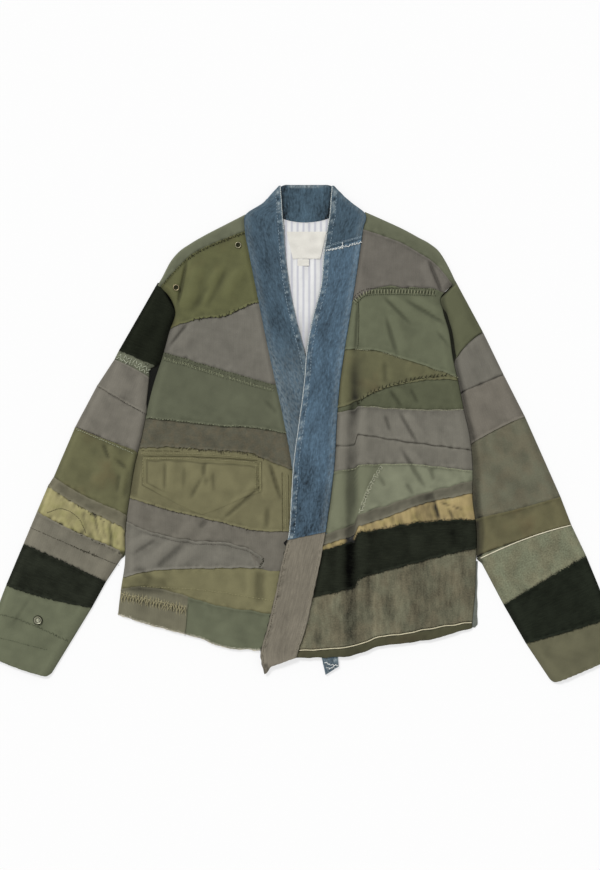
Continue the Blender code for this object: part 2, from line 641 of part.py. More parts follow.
def build_sleeve(side, rings, pieces):
    """The strips from armhole to cuff, and the underside, with closer rows near the armhole."""
    across = np.array([0, 0.05, 0.13, 0.27, 0.42, 0.58, 0.73, 0.87, 0.95, 1.0])
    for (node, cloth), upper, lower in zip(pieces, rings, rings[1:]):
        long = np.hypot(upper.mid_x - lower.mid_x, upper.mid_y - lower.mid_y)
        down = np.linspace(SEAM / long, 1.0 - SEAM / long, max(2, int(round(long / ROW))) + 1)
        u, w = np.meshgrid(across, down, indexing="ij")
        (xa, ya), (xb, yb) = ring_line(upper, u), ring_line(lower, u)
        x, y = xa * (1 - w) + xb * w, ya * (1 - w) + yb * w
        wide = np.hypot(upper.outer_x - upper.inner_x, upper.outer_y - upper.inner_y)
        rise = smooth(np.minimum(u, 1.0 - u) * wide / ROLL)
        x = clear_of_body(side, x, y)
        z = FRONT_EDGE + rise * (SLEEVE_RISE + folded(SLEEVE_FOLDS, x, y))
        plate(node, x, y, z, CLOTH, cloth)
    u = np.linspace(UNDER_INSET, 1.0 - UNDER_INSET, 6)
    lines = np.array([ring_line(ring, u) for ring in rings])
    at = np.union1d(np.arange(len(rings)), np.linspace(0, 2, 9))
    x = np.array([np.interp(at, np.arange(len(rings)), lines[:, 0, k]) for k in range(len(u))])
    y = np.array([np.interp(at, np.arange(len(rings)), lines[:, 1, k]) for k in range(len(u))])
    lay(f"{side}_undersleeve", (clear_of_body(side, x, y), y), on_floor, CLOTH, "sage cotton")


# ---------------------------------------------------------------- snaps

# Half profile of a pressed ring snap, from its middle out and down, as shares of its radius.
Profile = namedtuple("Profile", "radius height")
SNAP_PROFILE = [
    Profile(0.0, 0.10), Profile(0.38, 0.10), Profile(0.52, 0.26),
    Profile(0.82, 0.32), Profile(1.0, 0.16), Profile(1.0, 0.0),
]
SNAP_SIDES = 16
Snap = namedtuple("Snap", "node x y radius under")
SNAPS = [
    Snap("yoke_snap_neck", -99, 294, 5.5, "front"),
    Snap("yoke_snap_shoulder", -195, 228, 5.5, "front"),
    Snap("cuff_snap", -409, -287, 7.0, "sleeve"),
]


def build_snaps():
    for snap in SNAPS:
        angle = np.arange(SNAP_SIDES) * 2.0 * np.pi / SNAP_SIDES
        rim_x, rim_y = snap.x + snap.radius * np.cos(angle), snap.y + snap.radius * np.sin(angle)
        cloth_top = FRONT_EDGE + SLEEVE_RISE + folded(SLEEVE_FOLDS, rim_x, rim_y)
        if snap.under == "front":
            cloth_top = right_front_lies(rim_x, rim_y)
        foot = cloth_top.max() + CLOTH + 2.0 * GAP
        points = [(snap.x, snap.y, foot), (snap.x, snap.y, foot + SNAP_PROFILE[0].height * snap.radius)]
        for ring in SNAP_PROFILE[1:]:
            x, y = snap.x + ring.radius * (rim_x - snap.x), snap.y + ring.radius * (rim_y - snap.y)
            points += list(zip(x, y, np.full(SNAP_SIDES, foot + ring.height * snap.radius)))
        faces = []
        for k in range(SNAP_SIDES):
            after = (k + 1) % SNAP_SIDES
            first = lambda ring: 2 + ring * SNAP_SIDES
            faces.append((1, first(0) + k, first(0) + after))
            for ring in range(len(SNAP_PROFILE) - 2):
                a, b = first(ring), first(ring + 1)
                faces.append((a + k, b + k, b + after, a + after))
            last = first(len(SNAP_PROFILE) - 2)
            faces.append((0, last + after, last + k))
        add_object(snap.node, np.array(points), faces, "snap metal")


def clear_scene():
    for obj in list(bpy.data.objects):
        bpy.data.objects.remove(obj)


clear_scene()
build_back()
build_neck()
build_right_front()
build_left_front()
build_pocket_flap()
build_bands()
build_lining_and_labels()
build_sleeve("right", RIGHT_RINGS, RIGHT_PIECES)
build_sleeve("left", LEFT_RINGS, LEFT_PIECES)
build_snaps()
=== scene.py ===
"""The looks of a strip-pieced patchwork jacket that lies flat on its back with its front up.

Tables are in millimetres: x towards the wearer's left sleeve, y from hem to collar, z up from the
floor. A piece of cloth is a grid of points (x, y) between two sides and two seams. Its height is
z(x, y) = height of its layer + folds + wrinkles + puckers at its seams + its lap over a neighbour,
and a wall of cloth hangs under that surface.
"""

from collections import namedtuple

import bpy
import numpy as np
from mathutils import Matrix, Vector
from mathutils.bvhtree import BVHTree


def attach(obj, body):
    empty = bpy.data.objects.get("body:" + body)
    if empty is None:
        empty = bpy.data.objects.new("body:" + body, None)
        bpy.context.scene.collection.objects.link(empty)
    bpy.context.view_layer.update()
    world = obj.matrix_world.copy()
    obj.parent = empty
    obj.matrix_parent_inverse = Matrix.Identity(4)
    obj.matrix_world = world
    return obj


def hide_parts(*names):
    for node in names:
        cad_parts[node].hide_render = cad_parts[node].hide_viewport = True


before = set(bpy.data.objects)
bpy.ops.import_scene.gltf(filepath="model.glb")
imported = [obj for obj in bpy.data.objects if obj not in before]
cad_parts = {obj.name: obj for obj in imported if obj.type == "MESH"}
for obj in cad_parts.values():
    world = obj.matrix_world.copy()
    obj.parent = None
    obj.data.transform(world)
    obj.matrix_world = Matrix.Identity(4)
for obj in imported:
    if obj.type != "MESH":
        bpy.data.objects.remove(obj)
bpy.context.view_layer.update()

# ================================================================ back
# One panel of sage cotton, whose top is rolled forward over the shoulders. It lies flat on the
# floor, and the fronts are sewn to it along the folded sides.

MM = 0.001
TAU = 2.0 * np.pi
STEP = 2.2            # distance between grid lines of a cloth
WALL = 0.9            # thickness of one cloth
BACK_INSET = 3.0      # the back stops this far inside the fronts' folded sides
BACK_TOP = 1.5        # height of the back's upper face


def named_rows(fields, *rows, defaults=()):
    """The rows as a list, with their columns named by the fields."""
    row = namedtuple("row", fields, defaults=defaults)
    return [row(*values) for values in rows]


# How far the folded sides of the body reach, at each height y.
SIDES = named_rows(
    "y right left",
    (-350, -288, 264), (-300, -287, 264), (-240, -281, 269), (-200, -275, 270), (-150, -274, 271),
    (-100, -268, 265), (-50, -260, 265), (0, -248, 260), (40, -240, 251), (80, -230, 243),
    (120, -217, 234), (160, -206, 228), (192, -197, 219), (214, -206, 216), (234, -223, 234),
    (242, -227, 240),
)

# The shoulders: the seam in front, and the edge where the back is rolled forward.
RIGHT_SHOULDER = named_rows(
    "x seam edge",
    (-226, 221, 229), (-217, 232, 244), (-205, 246, 267), (-192, 260, 283), (-174, 277, 296),
    (-150, 291, 310), (-119, 304, 326), (-84, 317, 344),
)
LEFT_SHOULDER = named_rows(
    "x seam edge",
    (93, 319, 348), (129, 307, 332), (159, 295, 318), (181, 282, 306), (199, 271, 296), (213, 258, 284),
    (226, 242, 263), (240, 224, 234),
)

# The neck seam's lowest point, and how much higher it is at its reach from there.
NECK_X, NECK_Y, NECK_RISE, NECK_REACH = 5.0, 329.0, 6.0, 36.0
BACK_HEM = [(-290, -271), (-120, -321), (0, -329), (120, -323), (280, -291)]

# The blue-grey strip at the back's left side: its ends, and its edges.
STRIP_TOP, STRIP_FOOT, STRIP_INNER, STRIP_OUTER = -196.0, -299.0, 255.0, 272.5
STRIP_Z = 1.3

ROUNDS = 60           # how often two lines that depend on each other are read
FLOOR_CLEAR = 0.02    # least height of a lower face
CREASE_DEPTH = 0.8    # relief that counts as one crease
CREASE_LIMITS = (-1.5, 0.5)
DULL = 0.25           # how little a cloth shines


def smooth(t):
    """0 below 0, 1 above 1, and the soft step 3t^2 - 2t^3 between."""
    t = np.clip(t, 0.0, 1.0)
    return t * t * (3.0 - 2.0 * t)


def through(stations, values, at):
    """A smooth line through (station, value): cubic pieces whose slope is the mean of both sides."""
    s, v = np.asarray(stations, float), np.asarray(values, float)
    slope = np.gradient(v, s)
    at = np.clip(at, s[0], s[-1])
    k = np.clip(np.searchsorted(s, at) - 1, 0, len(s) - 2)
    h = s[k + 1] - s[k]
    t = (at - s[k]) / h
    return (
        (2 * t**3 - 3 * t**2 + 1) * v[k]
        + (t**3 - 2 * t**2 + t) * h * slope[k]
        + (3 * t**2 - 2 * t**3) * v[k + 1]
        + (t**3 - t**2) * h * slope[k + 1]
    )


def table_line(table, given, wanted, at):
    """The column named wanted as a smooth line over the column named given."""
    return through([getattr(row, given) for row in table], [getattr(row, wanted) for row in table], at)


def side_edge(name, y):
    return table_line(SIDES, "y", name, y)


def neck_line(x):
    """The neck seam: a shallow parabola, lowest at the middle of the back."""
    return NECK_Y + NECK_RISE * ((x - NECK_X) / NECK_REACH) ** 2


def ripples(x, y, size, seed):
    """Soft waves about 0: the sum of 14 sines of seeded directions and phases, wavelengths near size."""
    rng = np.random.default_rng(seed)
    turn, phase = rng.uniform(0.0, TAU, 14), rng.uniform(0.0, TAU, 14)
    number = TAU / (size * rng.uniform(0.7, 1.6, 14))
    total = np.zeros(np.broadcast(x, y).shape)
    for a, p, k in zip(turn, phase, number):
        total += np.sin((x * np.cos(a) + y * np.sin(a)) * k + p)
    return total / 14**0.5


def between(sides, seams, across, down):
    """Points (x, y): x at share u between two sides x(y), y at share w between two seams y(x).

    x is read at y and y at x, so the two are repeated until they agree; half of each new x is
    taken, which keeps steep ends calm.
    """
    u, w = np.meshgrid(across, down, indexing="ij")
    middle = (seams[0](0.0) + seams[1](0.0)) / 2.0
    x = np.full_like(u, (sides[0](middle) + sides[1](middle)) / 2.0)
    y = np.full_like(u, middle)
    for _ in range(ROUNDS):
        y = seams[0](x) * (1.0 - w) + seams[1](x) * w
        x = 0.5 * x + 0.5 * (sides[0](y) * (1.0 - u) + sides[1](y) * u)
    return x, y


def shares(length, step=STEP, close=0.45):
    """Parameters from 0 to 1 about a step apart, closer at both ends: t - close sin(2 pi t) / 2 pi."""
    t = np.linspace(0.0, 1.0, max(4, int(round(length / step))) + 1)
    return t - close * np.sin(TAU * t) / TAU


def relief(z, rounds=50):
    """How far a point stands above its surroundings: z less z averaged with its neighbours many times."""
    soft = z
    for _ in range(rounds):
        wide = np.pad(soft, 1, mode="edge")
        soft = (wide[:-2, 1:-1] + wide[2:, 1:-1] + wide[1:-1, :-2] + wide[1:-1, 2:] + 4.0 * soft) / 8.0
    return z - soft


def grid_faces(rows, cols, start=0):
    """Quads over a grid of points that are numbered row by row."""
    n = np.arange(rows * cols).reshape(rows, cols) + start
    return np.stack([n[:-1, :-1], n[1:, :-1], n[1:, 1:], n[:-1, 1:]], axis=-1).reshape(-1, 4)


def add_object(name, data):
    made = bpy.data.objects.new(name, data)
    bpy.context.scene.collection.objects.link(made)
    return made


def new_piece(name, points, faces, finish, grain=None, marks=None):
    """An object from points in millimetres; grain is its UV map in metres and marks are its attributes."""
    mesh = bpy.data.meshes.new(name)
    mesh.from_pydata((points * MM).tolist(), [], faces)
    if grain is not None:
        corner = np.empty(len(mesh.loops), np.int32)
        mesh.loops.foreach_get("vertex_index", corner)
        mesh.uv_layers.new(name="grain").data.foreach_set("uv", (grain[corner] * MM).ravel())
    for mark, values in (marks or {}).items():
        mesh.attributes.new(mark, "FLOAT", "POINT").data.foreach_set("value", values)
    mesh.materials.append(finish)
    mesh.shade_smooth()
    mesh.set_sharp_from_angle(angle=np.radians(55.0))
    piece = add_object(name, mesh)
    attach(piece, "root")
    return piece


def lay_cloth(node, x, y, z, finish, seam=0.0, grain=None, wall=WALL, blend=0.0):
    """A cloth with its upper face at z(x, y), which replaces the CAD node of its name.

    Its lower face is the upper one moved in by the wall along the normals, and a rim joins the two.
    seam marks how much darker it is: mostly painted shade at its seams, edges and folds and beside
    other pieces, with a few paler lapping edges and darker patches. blend marks where its second
    colour shows, and crease how far a point stands above its surroundings, from which its finish
    paints shade in the hollows and light on the ridges.
    """
    turned = (x[1, 0] - x[0, 0]) * (y[0, 1] - y[0, 0]) < (y[1, 0] - y[0, 0]) * (x[0, 1] - x[0, 0])
    gx, gy = (x, y) if grain is None else grain
    fields = [np.broadcast_to(f, x.shape)[:: -1 if turned else 1] for f in (x, y, z, gx, gy, seam, blend)]
    x, y, z, gx, gy, seam, blend = fields
    top = np.stack([x, y, z], axis=-1)
    normal = np.cross(np.gradient(top, axis=0), np.gradient(top, axis=1))
    normal /= np.linalg.norm(normal, axis=-1, keepdims=True)
    bottom = top - wall * normal
    bottom[..., 2] = np.maximum(bottom[..., 2], FLOOR_CLEAR)
    rows, cols = x.shape
    n = rows * cols
    index = np.arange(n).reshape(rows, cols)
    ring = np.concatenate([index[:, 0], index[-1, 1:], index[-2::-1, -1], index[0, -2:0:-1]])
    after = np.roll(ring, -1)
    rim = np.stack([ring, after, after + n, ring + n], axis=-1)[:, ::-1]
    faces = np.concatenate([grid_faces(rows, cols), grid_faces(rows, cols, n)[:, ::-1], rim])
    # crease is the relief from which the finishes paint shade in hollows and light on ridges.
    crease = np.clip(relief(z) / CREASE_DEPTH, *CREASE_LIMITS)
    both = lambda a: np.concatenate([a.ravel(), a.ravel()])
    marks = {"crease": both(crease), "seam": both(seam), "blend": both(blend)}
    points = np.concatenate([top.reshape(-1, 3), bottom.reshape(-1, 3)])
    grain = np.stack([both(gx), both(gy)], axis=-1)
    piece = new_piece(f"{node}_cloth", points, faces.tolist(), finish, grain, marks)
    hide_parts(node)


class Tap:
    """One socket of a material's nodes. Arithmetic on it adds Math nodes, and node adds any other."""

    def __init__(self, tree, socket=None):
        self.tree, self.socket = tree, socket

    def node(self, kind, inputs=None, out=0, **settings):
        """A node of this kind: its settings first, then values or links for its inputs."""
        made = self.tree.nodes.new(kind)
        for name, value in settings.items():
            setattr(made, name, value)
        for name, value in (inputs or {}).items():
            if isinstance(value, Tap):
                self.tree.links.new(value.socket, made.inputs[name])
            else:
                made.inputs[name].default_value = value
        return Tap(self.tree, made.outputs[out])

    def math(self, operation, first, second=0.0):
        return self.node("ShaderNodeMath", {0: first, 1: second}, operation=operation)

    def __add__(self, other):
        return self.math("ADD", self, other)

    def __sub__(self, other):
        return self.math("SUBTRACT", self, other)

    def __mul__(self, other):
        return self.math("MULTIPLY", self, other)

    def __rsub__(self, other):
        return self.math("SUBTRACT", other, self)

    __radd__, __rmul__ = __add__, __mul__

    def sine(self):
        return self.math("SINE", self)

    def above(self, low, high):
        """0 up to low and 1 from high on."""
        return self.node("ShaderNodeMapRange", {0: self, 1: low, 2: high}, interpolation_type="SMOOTHSTEP")

    def mark(self, name):
        return self.node("ShaderNodeAttribute", out="Fac", attribute_name=name)

    def mix(self, share, first, second):
        """Colour from first to second by share; each is a tap or linear RGB."""
        first, second = (c if isinstance(c, Tap) else (*c, 1.0) for c in (first, second))
        return self.node("ShaderNodeMix", {0: share, 6: first, 7: second}, out=2, data_type="RGBA")

    def dyed(self, colour, shade):
        """A colour made lighter or darker by shade."""
        return self.node("ShaderNodeVectorMath", {0: colour, "Scale": shade}, operation="SCALE")


def linear(colour):
    """An sRGB colour of 0 to 255 as linear RGB."""
    c = np.asarray(colour) / 255.0
    return tuple(np.where(c > 0.04045, ((c + 0.055) / 1.055) ** 2.4, c / 12.92))


class Finish(Tap):
    """A new Principled material, with its place in metres on the cloth, or in space, to start from."""

    def __init__(self, name, on_cloth=True):
        self.material = bpy.data.materials.new(name)
        self.material.use_nodes = True
        super().__init__(self.material.node_tree)
        self.shader = self.tree.nodes["Principled BSDF"]
        if on_cloth:
            self.where = self.node("ShaderNodeUVMap", uv_map="grain")
        else:
            self.where = self.node("ShaderNodeTexCoord", out="Object")

    def parts(self):
        """How far across and how far along the cloth."""
        across = self.node("ShaderNodeSeparateXYZ", {0: self.where})
        return across, Tap(self.tree, across.socket.node.outputs[1])

    def noise(self, size, detail=2.0, stretch=(1.0, 1.0)):
        """Noise about 0, from -1 to 1, with lumps of this size in metres, longer along by the stretch."""
        scale = (1.0 / (size * stretch[0]), 1.0 / (size * stretch[1]), 1.0)
        place = self.node("ShaderNodeMapping", {"Vector": self.where, "Scale": scale})
        value = self.node("ShaderNodeTexNoise", {"Vector": place, "Scale": 1.0, "Detail": detail})
        return value * 2.0 - 1.0

    def wear_and_painted_shade(self, cloud, speck, crease, seam):
        """The shade of a used cloth about 1: clouds and specks, and painted light and shade: pale ridges,
        dark hollows, and the painted shade of the seam mark.
        """
        clouds = self.noise(0.055, 3.0) * cloud + self.noise(0.011, 2.0) * (cloud * 0.6)
        specks = self.noise(0.0018, 2.0) * speck
        return 1.0 + clouds + specks + self.mark("crease") * crease - self.mark("seam") * seam

    def weave(self, pitch):
        """Threads over and under each other: the product of a sine across and a sine along."""
        across, along = self.parts()
        return (across * (TAU / pitch)).sine() * (along * (TAU / pitch)).sine()

    def done(self, colour, rough, height, distance):
        """Sets the colour, the roughness, and a bump of this height over this distance in metres."""
        self.tree.links.new(colour.socket, self.shader.inputs["Base Color"])
        if isinstance(rough, Tap):
            self.tree.links.new(rough.socket, self.shader.inputs["Roughness"])
        else:
            self.shader.inputs["Roughness"].default_value = rough
        bump = self.node("ShaderNodeBump", {"Height": height, "Strength": 1.0, "Distance": distance})
        self.tree.links.new(bump.socket, self.shader.inputs["Normal"])
        self.shader.inputs["Specular IOR Level"].default_value = DULL
        return self.material


def cotton(name, colour, cloud=0.07, speck=0.07):
    """A washed plain-weave cotton."""
    dye = Finish(name)
    shade = dye.wear_and_painted_shade(cloud, speck, 0.22, 0.42)
    height = dye.weave(0.0011) * 0.5 + dye.noise(0.004, 3.0) * 0.8
    return dye.done(dye.dyed(linear(colour), shade), 0.88, height, 0.0002)


def back_top(x):
    right = table_line(RIGHT_SHOULDER, "x", "edge", x)
    left = table_line(LEFT_SHOULDER, "x", "edge", x)
    return np.minimum(np.where(x < NECK_X, right, left), neck_line(x)) - BACK_TOP


def back_left_side(y):
    """The back's left side, drawn in where the side strip takes its place."""
    strip = smooth((STRIP_TOP + 50.0 - y) / 40.0)
    return (side_edge("left", y) - BACK_INSET) * (1.0 - strip) + STRIP_INNER * strip


x, y = between(
    (lambda y: side_edge("right", y) + BACK_INSET, back_left_side),
    (back_top, lambda x: through(*zip(*BACK_HEM), x)),
    shares(540, 4.5), shares(620, 4.5),
)
back_sage = cotton("back sage", (103, 106, 88))
lay_cloth("back_panel", x, y, np.full_like(x, BACK_TOP), back_sage)

x, y = np.meshgrid(
    np.linspace(STRIP_INNER + 5.0, STRIP_OUTER, 9), np.linspace(STRIP_TOP, STRIP_FOOT, 50), indexing="ij"
)
x = x + 0.8 * ripples(0.0 * x, y, 40.0, 5) * smooth((x - STRIP_INNER) / 10.0)
x = x - 4.0 * smooth((STRIP_FOOT + 7.0 - y) / 7.0) ** 2 * smooth((x - STRIP_INNER) / 10.0)
z = STRIP_Z + 0.25 * ripples(x, y, 9.0, 6)
lay_cloth("side_strip", x, y, z, cotton("side strip blue-grey", (107, 111, 104)))

# ================================================================ neck
# A band of folded denim stands at the back neck and is seen from inside; the lining of white
# ticking with soft grey stripes hangs below it, with a bare woven label and tab sewn on.

LAYER = 1.8           # room that one layer takes, with its backing
GAP = 0.3
BAND = 2.8
LINING_LIES = LAYER + GAP
LINING_WALL = 1.0
LABEL_WALL = 0.6
LABEL_LIES = LINING_LIES + LINING_WALL + GAP
NECK_BAND = (-57.0, 70.0)     # where the neck band ends, and what of it shows
NECK_OPEN = (-28.0, 42.0)     # between the front bands
LINING_FOOT = 112.0
COLLAR_STATIONS = (-58, -46, -36, -28, -16, 6, 30, 42, 49, 60, 72)
COLLAR_TOP = (359, 374, 383, 387, 387.5, 387.5, 387.5, 387, 384, 376, 362)

# The front band. The right band lies under the left one from the bottom of the V down.
BAND_EDGES = named_rows(
    "y under_outer under_inner over_inner over_outer",
    (-375, 37, 58, -58, -17), (-340, 29, 56, -64, -7), (-300, 17, 53, -54, 6), (-240, 9, 48, -40, 19),
    (-200, 4, 45, -32, 28), (-155, -2, 40, -21, 36), (-100, -9, 35, -17, 44), (-40, -17, 28, -13, 51),
    (20, -28, 22, -5, 54), (80, -41, 14, 3, 59), (130, -52, 4, 7, 66), (180, -62, -9, 16, 74),
    (230, -72, -19, 29, 82), (285, -83, -26, 34, 90), (320, -89, -28, 39, 95), (343, -86, -30, 43, 98),
    (360, -60, -31, 44, 77), (373, -48, -32, 45, 62), (386, -36, -33, 46, 50),
)


def band_edge(name, y):
    return table_line(BAND_EDGES, "y", name, y)


def collar_top(x):
    return through(COLLAR_STATIONS, COLLAR_TOP, x)


def bell(t):
    """A rounded bump of 1 at t = 0: exp(-t^2)."""
    return np.exp(-(t**2))


def fade(distance, width):
    """1 up to a line and falling off beyond it: exp(-distance / width)."""
    return np.exp(-np.maximum(distance, 0.0) / width)


def denim(name, colour):
    """Indigo twill: slubs along the band, clouds, pale flecks, rubbed pale rims where its blend is, and the
    painted shade of its seam and crease marks.
    """
    dye = Finish(name)
    slubs = dye.noise(0.0025, 3.0, (1.0, 2.6)) * 0.85 + dye.noise(0.006, 2.0, (1.0, 5.0)) * 0.50
    clouds = dye.noise(0.035, 2.0, (1.0, 2.0)) * 0.50
    flecks = dye.noise(0.0021, 2.0, (2.4, 1.0)).above(0.22, 0.45) * 0.40
    # Painted shade from the seam mark, and painted light and shade from the crease mark.
    shade = 0.97 + slubs + clouds + flecks - dye.mark("seam") * 0.45 + dye.mark("crease") * 0.18
    pale = dye.mark("blend") * dye.noise(0.003, 3.0, (1.0, 2.0)).above(-0.5, 0.3)
    base = dye.mix(pale, dye.dyed(linear(colour), shade), linear((176, 188, 190)))
    across, along = dye.parts()
    slant = ((across + along) * (TAU / 0.0012)).sine()
    height = slant * 0.5 + dye.noise(0.003, 3.0) * 1.2
    return dye.done(base, 0.86, height, 0.00025)


def ticking(name):
    """White cotton with a soft grey stripe every 9 mm."""
    dye = Finish(name)
    across, _ = dye.parts()
    wobble = dye.noise(0.02, 1.0) * 0.0005
    stripe = ((across + wobble) * (TAU / 0.0090)).sine().above(-0.2, 1.0)
    shade = dye.wear_and_painted_shade(0.03, 0.03, 0.10, 0.25)
    base = dye.mix(stripe * 0.75, dye.dyed(linear((229, 229, 228)), shade), linear((186, 187, 198)))
    return dye.done(base, 0.9, dye.noise(0.002, 2.0), 0.0001)


x, y = between(
    (lambda y: np.full_like(y, NECK_BAND[0]), lambda y: np.full_like(y, NECK_BAND[1])),
    (collar_top, lambda x: neck_line(x) + GAP),
    shares(127), shares(55),
)
z = BAND + 0.6 * ripples(x, 0.3 * y, 40.0, 11) + 0.15 * ripples(x, y, 9.0, 12)
inside = np.minimum(x - NECK_OPEN[0], NECK_OPEN[1] - x)
shadow = 1.3 * (1.0 - smooth(inside / 12.0))
shadow = shadow + 0.3 * smooth((370.0 - y) / 30.0) * (1.0 - smooth(inside / 30.0))
shadow += -0.5 * bell((x - 2.0) / 4.0) + 0.3 * np.exp(-np.abs(x - 7.0) / 1.2)
rim = collar_top(x) - y
pale = 0.7 * bell((rim - 2.0) / 2.2) * smooth(ripples(x, 0.0 * y, 30.0, 16) + 0.6)
lay_cloth("neck_band", x, y, z, denim("neck band denim", (71, 92, 106)), shadow, blend=pale)

x, y = between(
    (lambda y: band_edge("under_inner", y) - 8.0, lambda y: band_edge("over_inner", y) + 8.0),
    (neck_line, lambda x: np.full_like(x, LINING_FOOT)),
    shares(90), shares(220),
)
z = LINING_LIES + LINING_WALL + 0.35 * ripples(x, 0.25 * y, 16.0, 13) + 0.1 * ripples(x, y, 8.0, 14)
inside = np.minimum(x - band_edge("under_inner", y), band_edge("over_inner", y) - x)
shadow = 0.8 * fade(inside, 3.5) + 0.7 * np.exp(-(neck_line(x) - y) / 2.5)
shadow += smooth((205.0 - y) / 60.0)
lay_cloth("lining", x, y, z, ticking("white ticking"), shadow)

TAPE = cotton("cream tape", (230, 227, 218), cloud=0.03, speck=0.04)
for node, top, foot, half_top, half_foot, middle in (
    ("label", 315.0, 273.0, 31.0, 21.5, 7.0),
    ("size_tab", 272.2, 262.0, 9.0, 9.0, 2.0),
):
    u, w = np.meshgrid(np.linspace(-1.0, 1.0, 33), np.linspace(0.0, 1.0, 25), indexing="ij")
    x = middle + u * (half_top * (1.0 - w) + half_foot * w)
    y = top + (foot - top) * w
    edge = np.minimum(1.0 - np.abs(u), 2.0 * np.minimum(w, 1.0 - w))
    z = LABEL_LIES + LABEL_WALL + 0.25 * ripples(x, y, 22.0, 15) - 0.2 * np.exp(-edge / 0.05)
    lay_cloth(node, x, y, z, TAPE, wall=0.4)

# ================================================================ right front
# Ten pieces of surplus cloth, from an olive yoke with two snaps down to a hem of taupe beside sage.
# Most edges are lapped and topstitched; those of wool and twill are left raw.

ROLL = 14.0           # width over which a front or sleeve rises from its folded edge
FRONT_EDGE = LAYER + GAP
FRONT_RISE = 2.2
TURN = 3.2            # radius of the rounded fold at a side or sleeve edge
FOOT = 1.7            # height at which that fold ends above the back
UNDER = 2.2           # how far a piece goes on under the one that laps over it
LAP = 1.15            # how much higher a lapping edge lies
BAND_DIP = 1.4        # how far a front sinks beside the band, and over what width
BAND_DIP_WIDTH = 7.0
RIGHT_FOLD_DEPTH = 1.35

# Height y of each seam where it crosses these x stations. A lap of 1 puts the upper piece on the
# lower one, -1 the lower on the upper, 0 turns both in, and 2 is a free edge. Ragged is how far a
# raw edge wavers, line how dark the painted shade along the seam is, and step how much lower it
# runs beside the band, on the near side of the left front's pleat.
Seam = namedtuple("Seam", "lap ragged heights line step", defaults=(1.0, 0.0))
RIGHT_STATIONS = (-290, -240, -200, -160, -120, -80, -40, 0, 30)
RIGHT_SEAMS = {
    "olive to grey": Seam(1, 0.7, (120, 146, 167, 180, 184, 202, 212, 216, 218)),
    "grey to sage": Seam(-1, 0.2, (138, 133, 124, 112, 100, 88, 77, 66, 58), 0.7),
    "sage to wool": Seam(1, 0.3, (26, 25, 22, 17, 13, 11, 5, -4, -10), 0.7),
    "wool to khaki": Seam(1, 1.0, (-21, -20, -19, -22, -25, -28, -45, -60, -70)),
    "khaki to grey": Seam(1, 0.5, (-92, -106, -118, -127, -137, -147, -150, -150, -150), 0.8),
    "grey to leaf": Seam(-1, 0.4, (-126, -148, -159, -165, -167, -178, -204, -209, -209), 0.7),
    "leaf to khaki": Seam(1, 0.3, (-224, -212, -208, -207, -206, -206, -210, -213, -213), 0.25),
    "khaki to hem pieces": Seam(-1, 0.3, (-239, -236, -243, -256, -267, -272, -280, -288, -292), 0.4),
    "hem": Seam(2, 0.8, (-277, -293, -304, -315, -329, -333, -335, -337, -338)),
}
HEM_CROSS = [(-320, -182), (-245, -176)]
LEAF_TIP_X, LEAF_TIP_Y = -58.0, -198.0

# Folds from (x0, y0) to (x1, y1): ridges, and troughs where the height is below 0.
FOLD = "x0 y0 x1 y1 width height"
RIGHT_FOLDS = named_rows(
    FOLD,
    (-176, 280, -196, 186, 2.7, -2), (-160, 274, -181, 190, 11, 2.6), (-131, 244, -176, 186, 6, -1.2),
    (-124, 266, -156, 198, 9, 1.9), (-113, 266, -150, 192, 5, -1.0), (-90, 270, -124, 206, 10, 1.4),
    (-190, 262, -205, 196, 8, 1.2), (-172, 178, -212, 130, 2.4, -1.5), (-184, 182, -224, 136, 9, 1.9),
    (-160, 172, -196, 128, 8, 1), (-60, 56, -34, 28, 3.4, -0.9), (-150, 60, -60, 42, 18, 0.9),
    (-212, -36, -213, -92, 2.4, -1.1), (-204, -36, -205, -92, 5, 0.9),
    (-150, -38, -148, -84, 2.7, -0.9), (-139, -54, -136, -92, 2.7, -1),
    (-52, -38, -31, -105, 2.6, -2.6), (-67, -42, -46, -106, 8, 1.9), (-129, -136, -56, -74, 2.7, -1.7),
    (-122, -124, -64, -68, 8, 1.5), (-53, -108, -55, -150, 4.1, -1.5),
    (-145, -130, -160, -146, 3.4, -1.3), (-172, -158, -236, -216, 5, -1.0),
    (-160, -128, -244, -206, 11, 1.7), (-132, -140, -214, -222, 9, 1.2),
    (-222, -160, -268, -188, 2.4, -1.2), (-230, -153, -272, -178, 7, 1.3),
    (-66, -200, -65, -272, 10, -2.2), (-78, -202, -79, -268, 8, 1.1),
    (-244, -212, -247, -304, 12, -0.9), (-46, -282, -50, -334, 4.1, -0.9),
    (-120, -285, -124, -335, 14, 0.7), (-240, 96, -228, 30, 10, 0.8), (-151, -42, -154, -68, 2.6, -1.4),
    (-153, -62, -175, -102, 2.6, -1.5), (-143, -44, -148, -72, 5, 1.2),
    (-264, -206, -226, -223, 6, -1.6), (-57, -60, -58, -104, 5, 1.2), (-182, -44, -184, -88, 2.6, -0.9),
)


def folded(folds, x, y):
    """Height added by the folds: a bell across each line, faded over its end thirds."""
    height = np.zeros_like(x)
    for fold in folds:
        along = np.array([fold.x1 - fold.x0, fold.y1 - fold.y0], float)
        length = np.hypot(*along)
        along /= length
        s = ((x - fold.x0) * along[0] + (y - fold.y0) * along[1]) / length
        across = (x - fold.x0) * along[1] - (y - fold.y0) * along[0]
        ends = smooth(s * 3.0) * smooth((1.0 - s) * 3.0)
        height += fold.height * ends * bell(across / fold.width)
    return height


def wrinkled(x, y):
    """The slight unevenness of washed cloth: waves of about 95, 34 and 13 mm."""
    return 0.5 * ripples(x, y, 95.0, 21) + 0.26 * ripples(x, y, 34.0, 22) + 0.09 * ripples(x, y, 13.0, 23)


def turned_edge(height, foot, distance, radius=TURN):
    """Height brought down to foot by a quarter circle over the last radius before an edge."""
    drop = 1.0 - np.sqrt(np.maximum(1.0 - (1.0 - np.clip(distance / radius, 0.0, 1.0)) ** 2, 0.0))
    return height - (height - foot) * drop


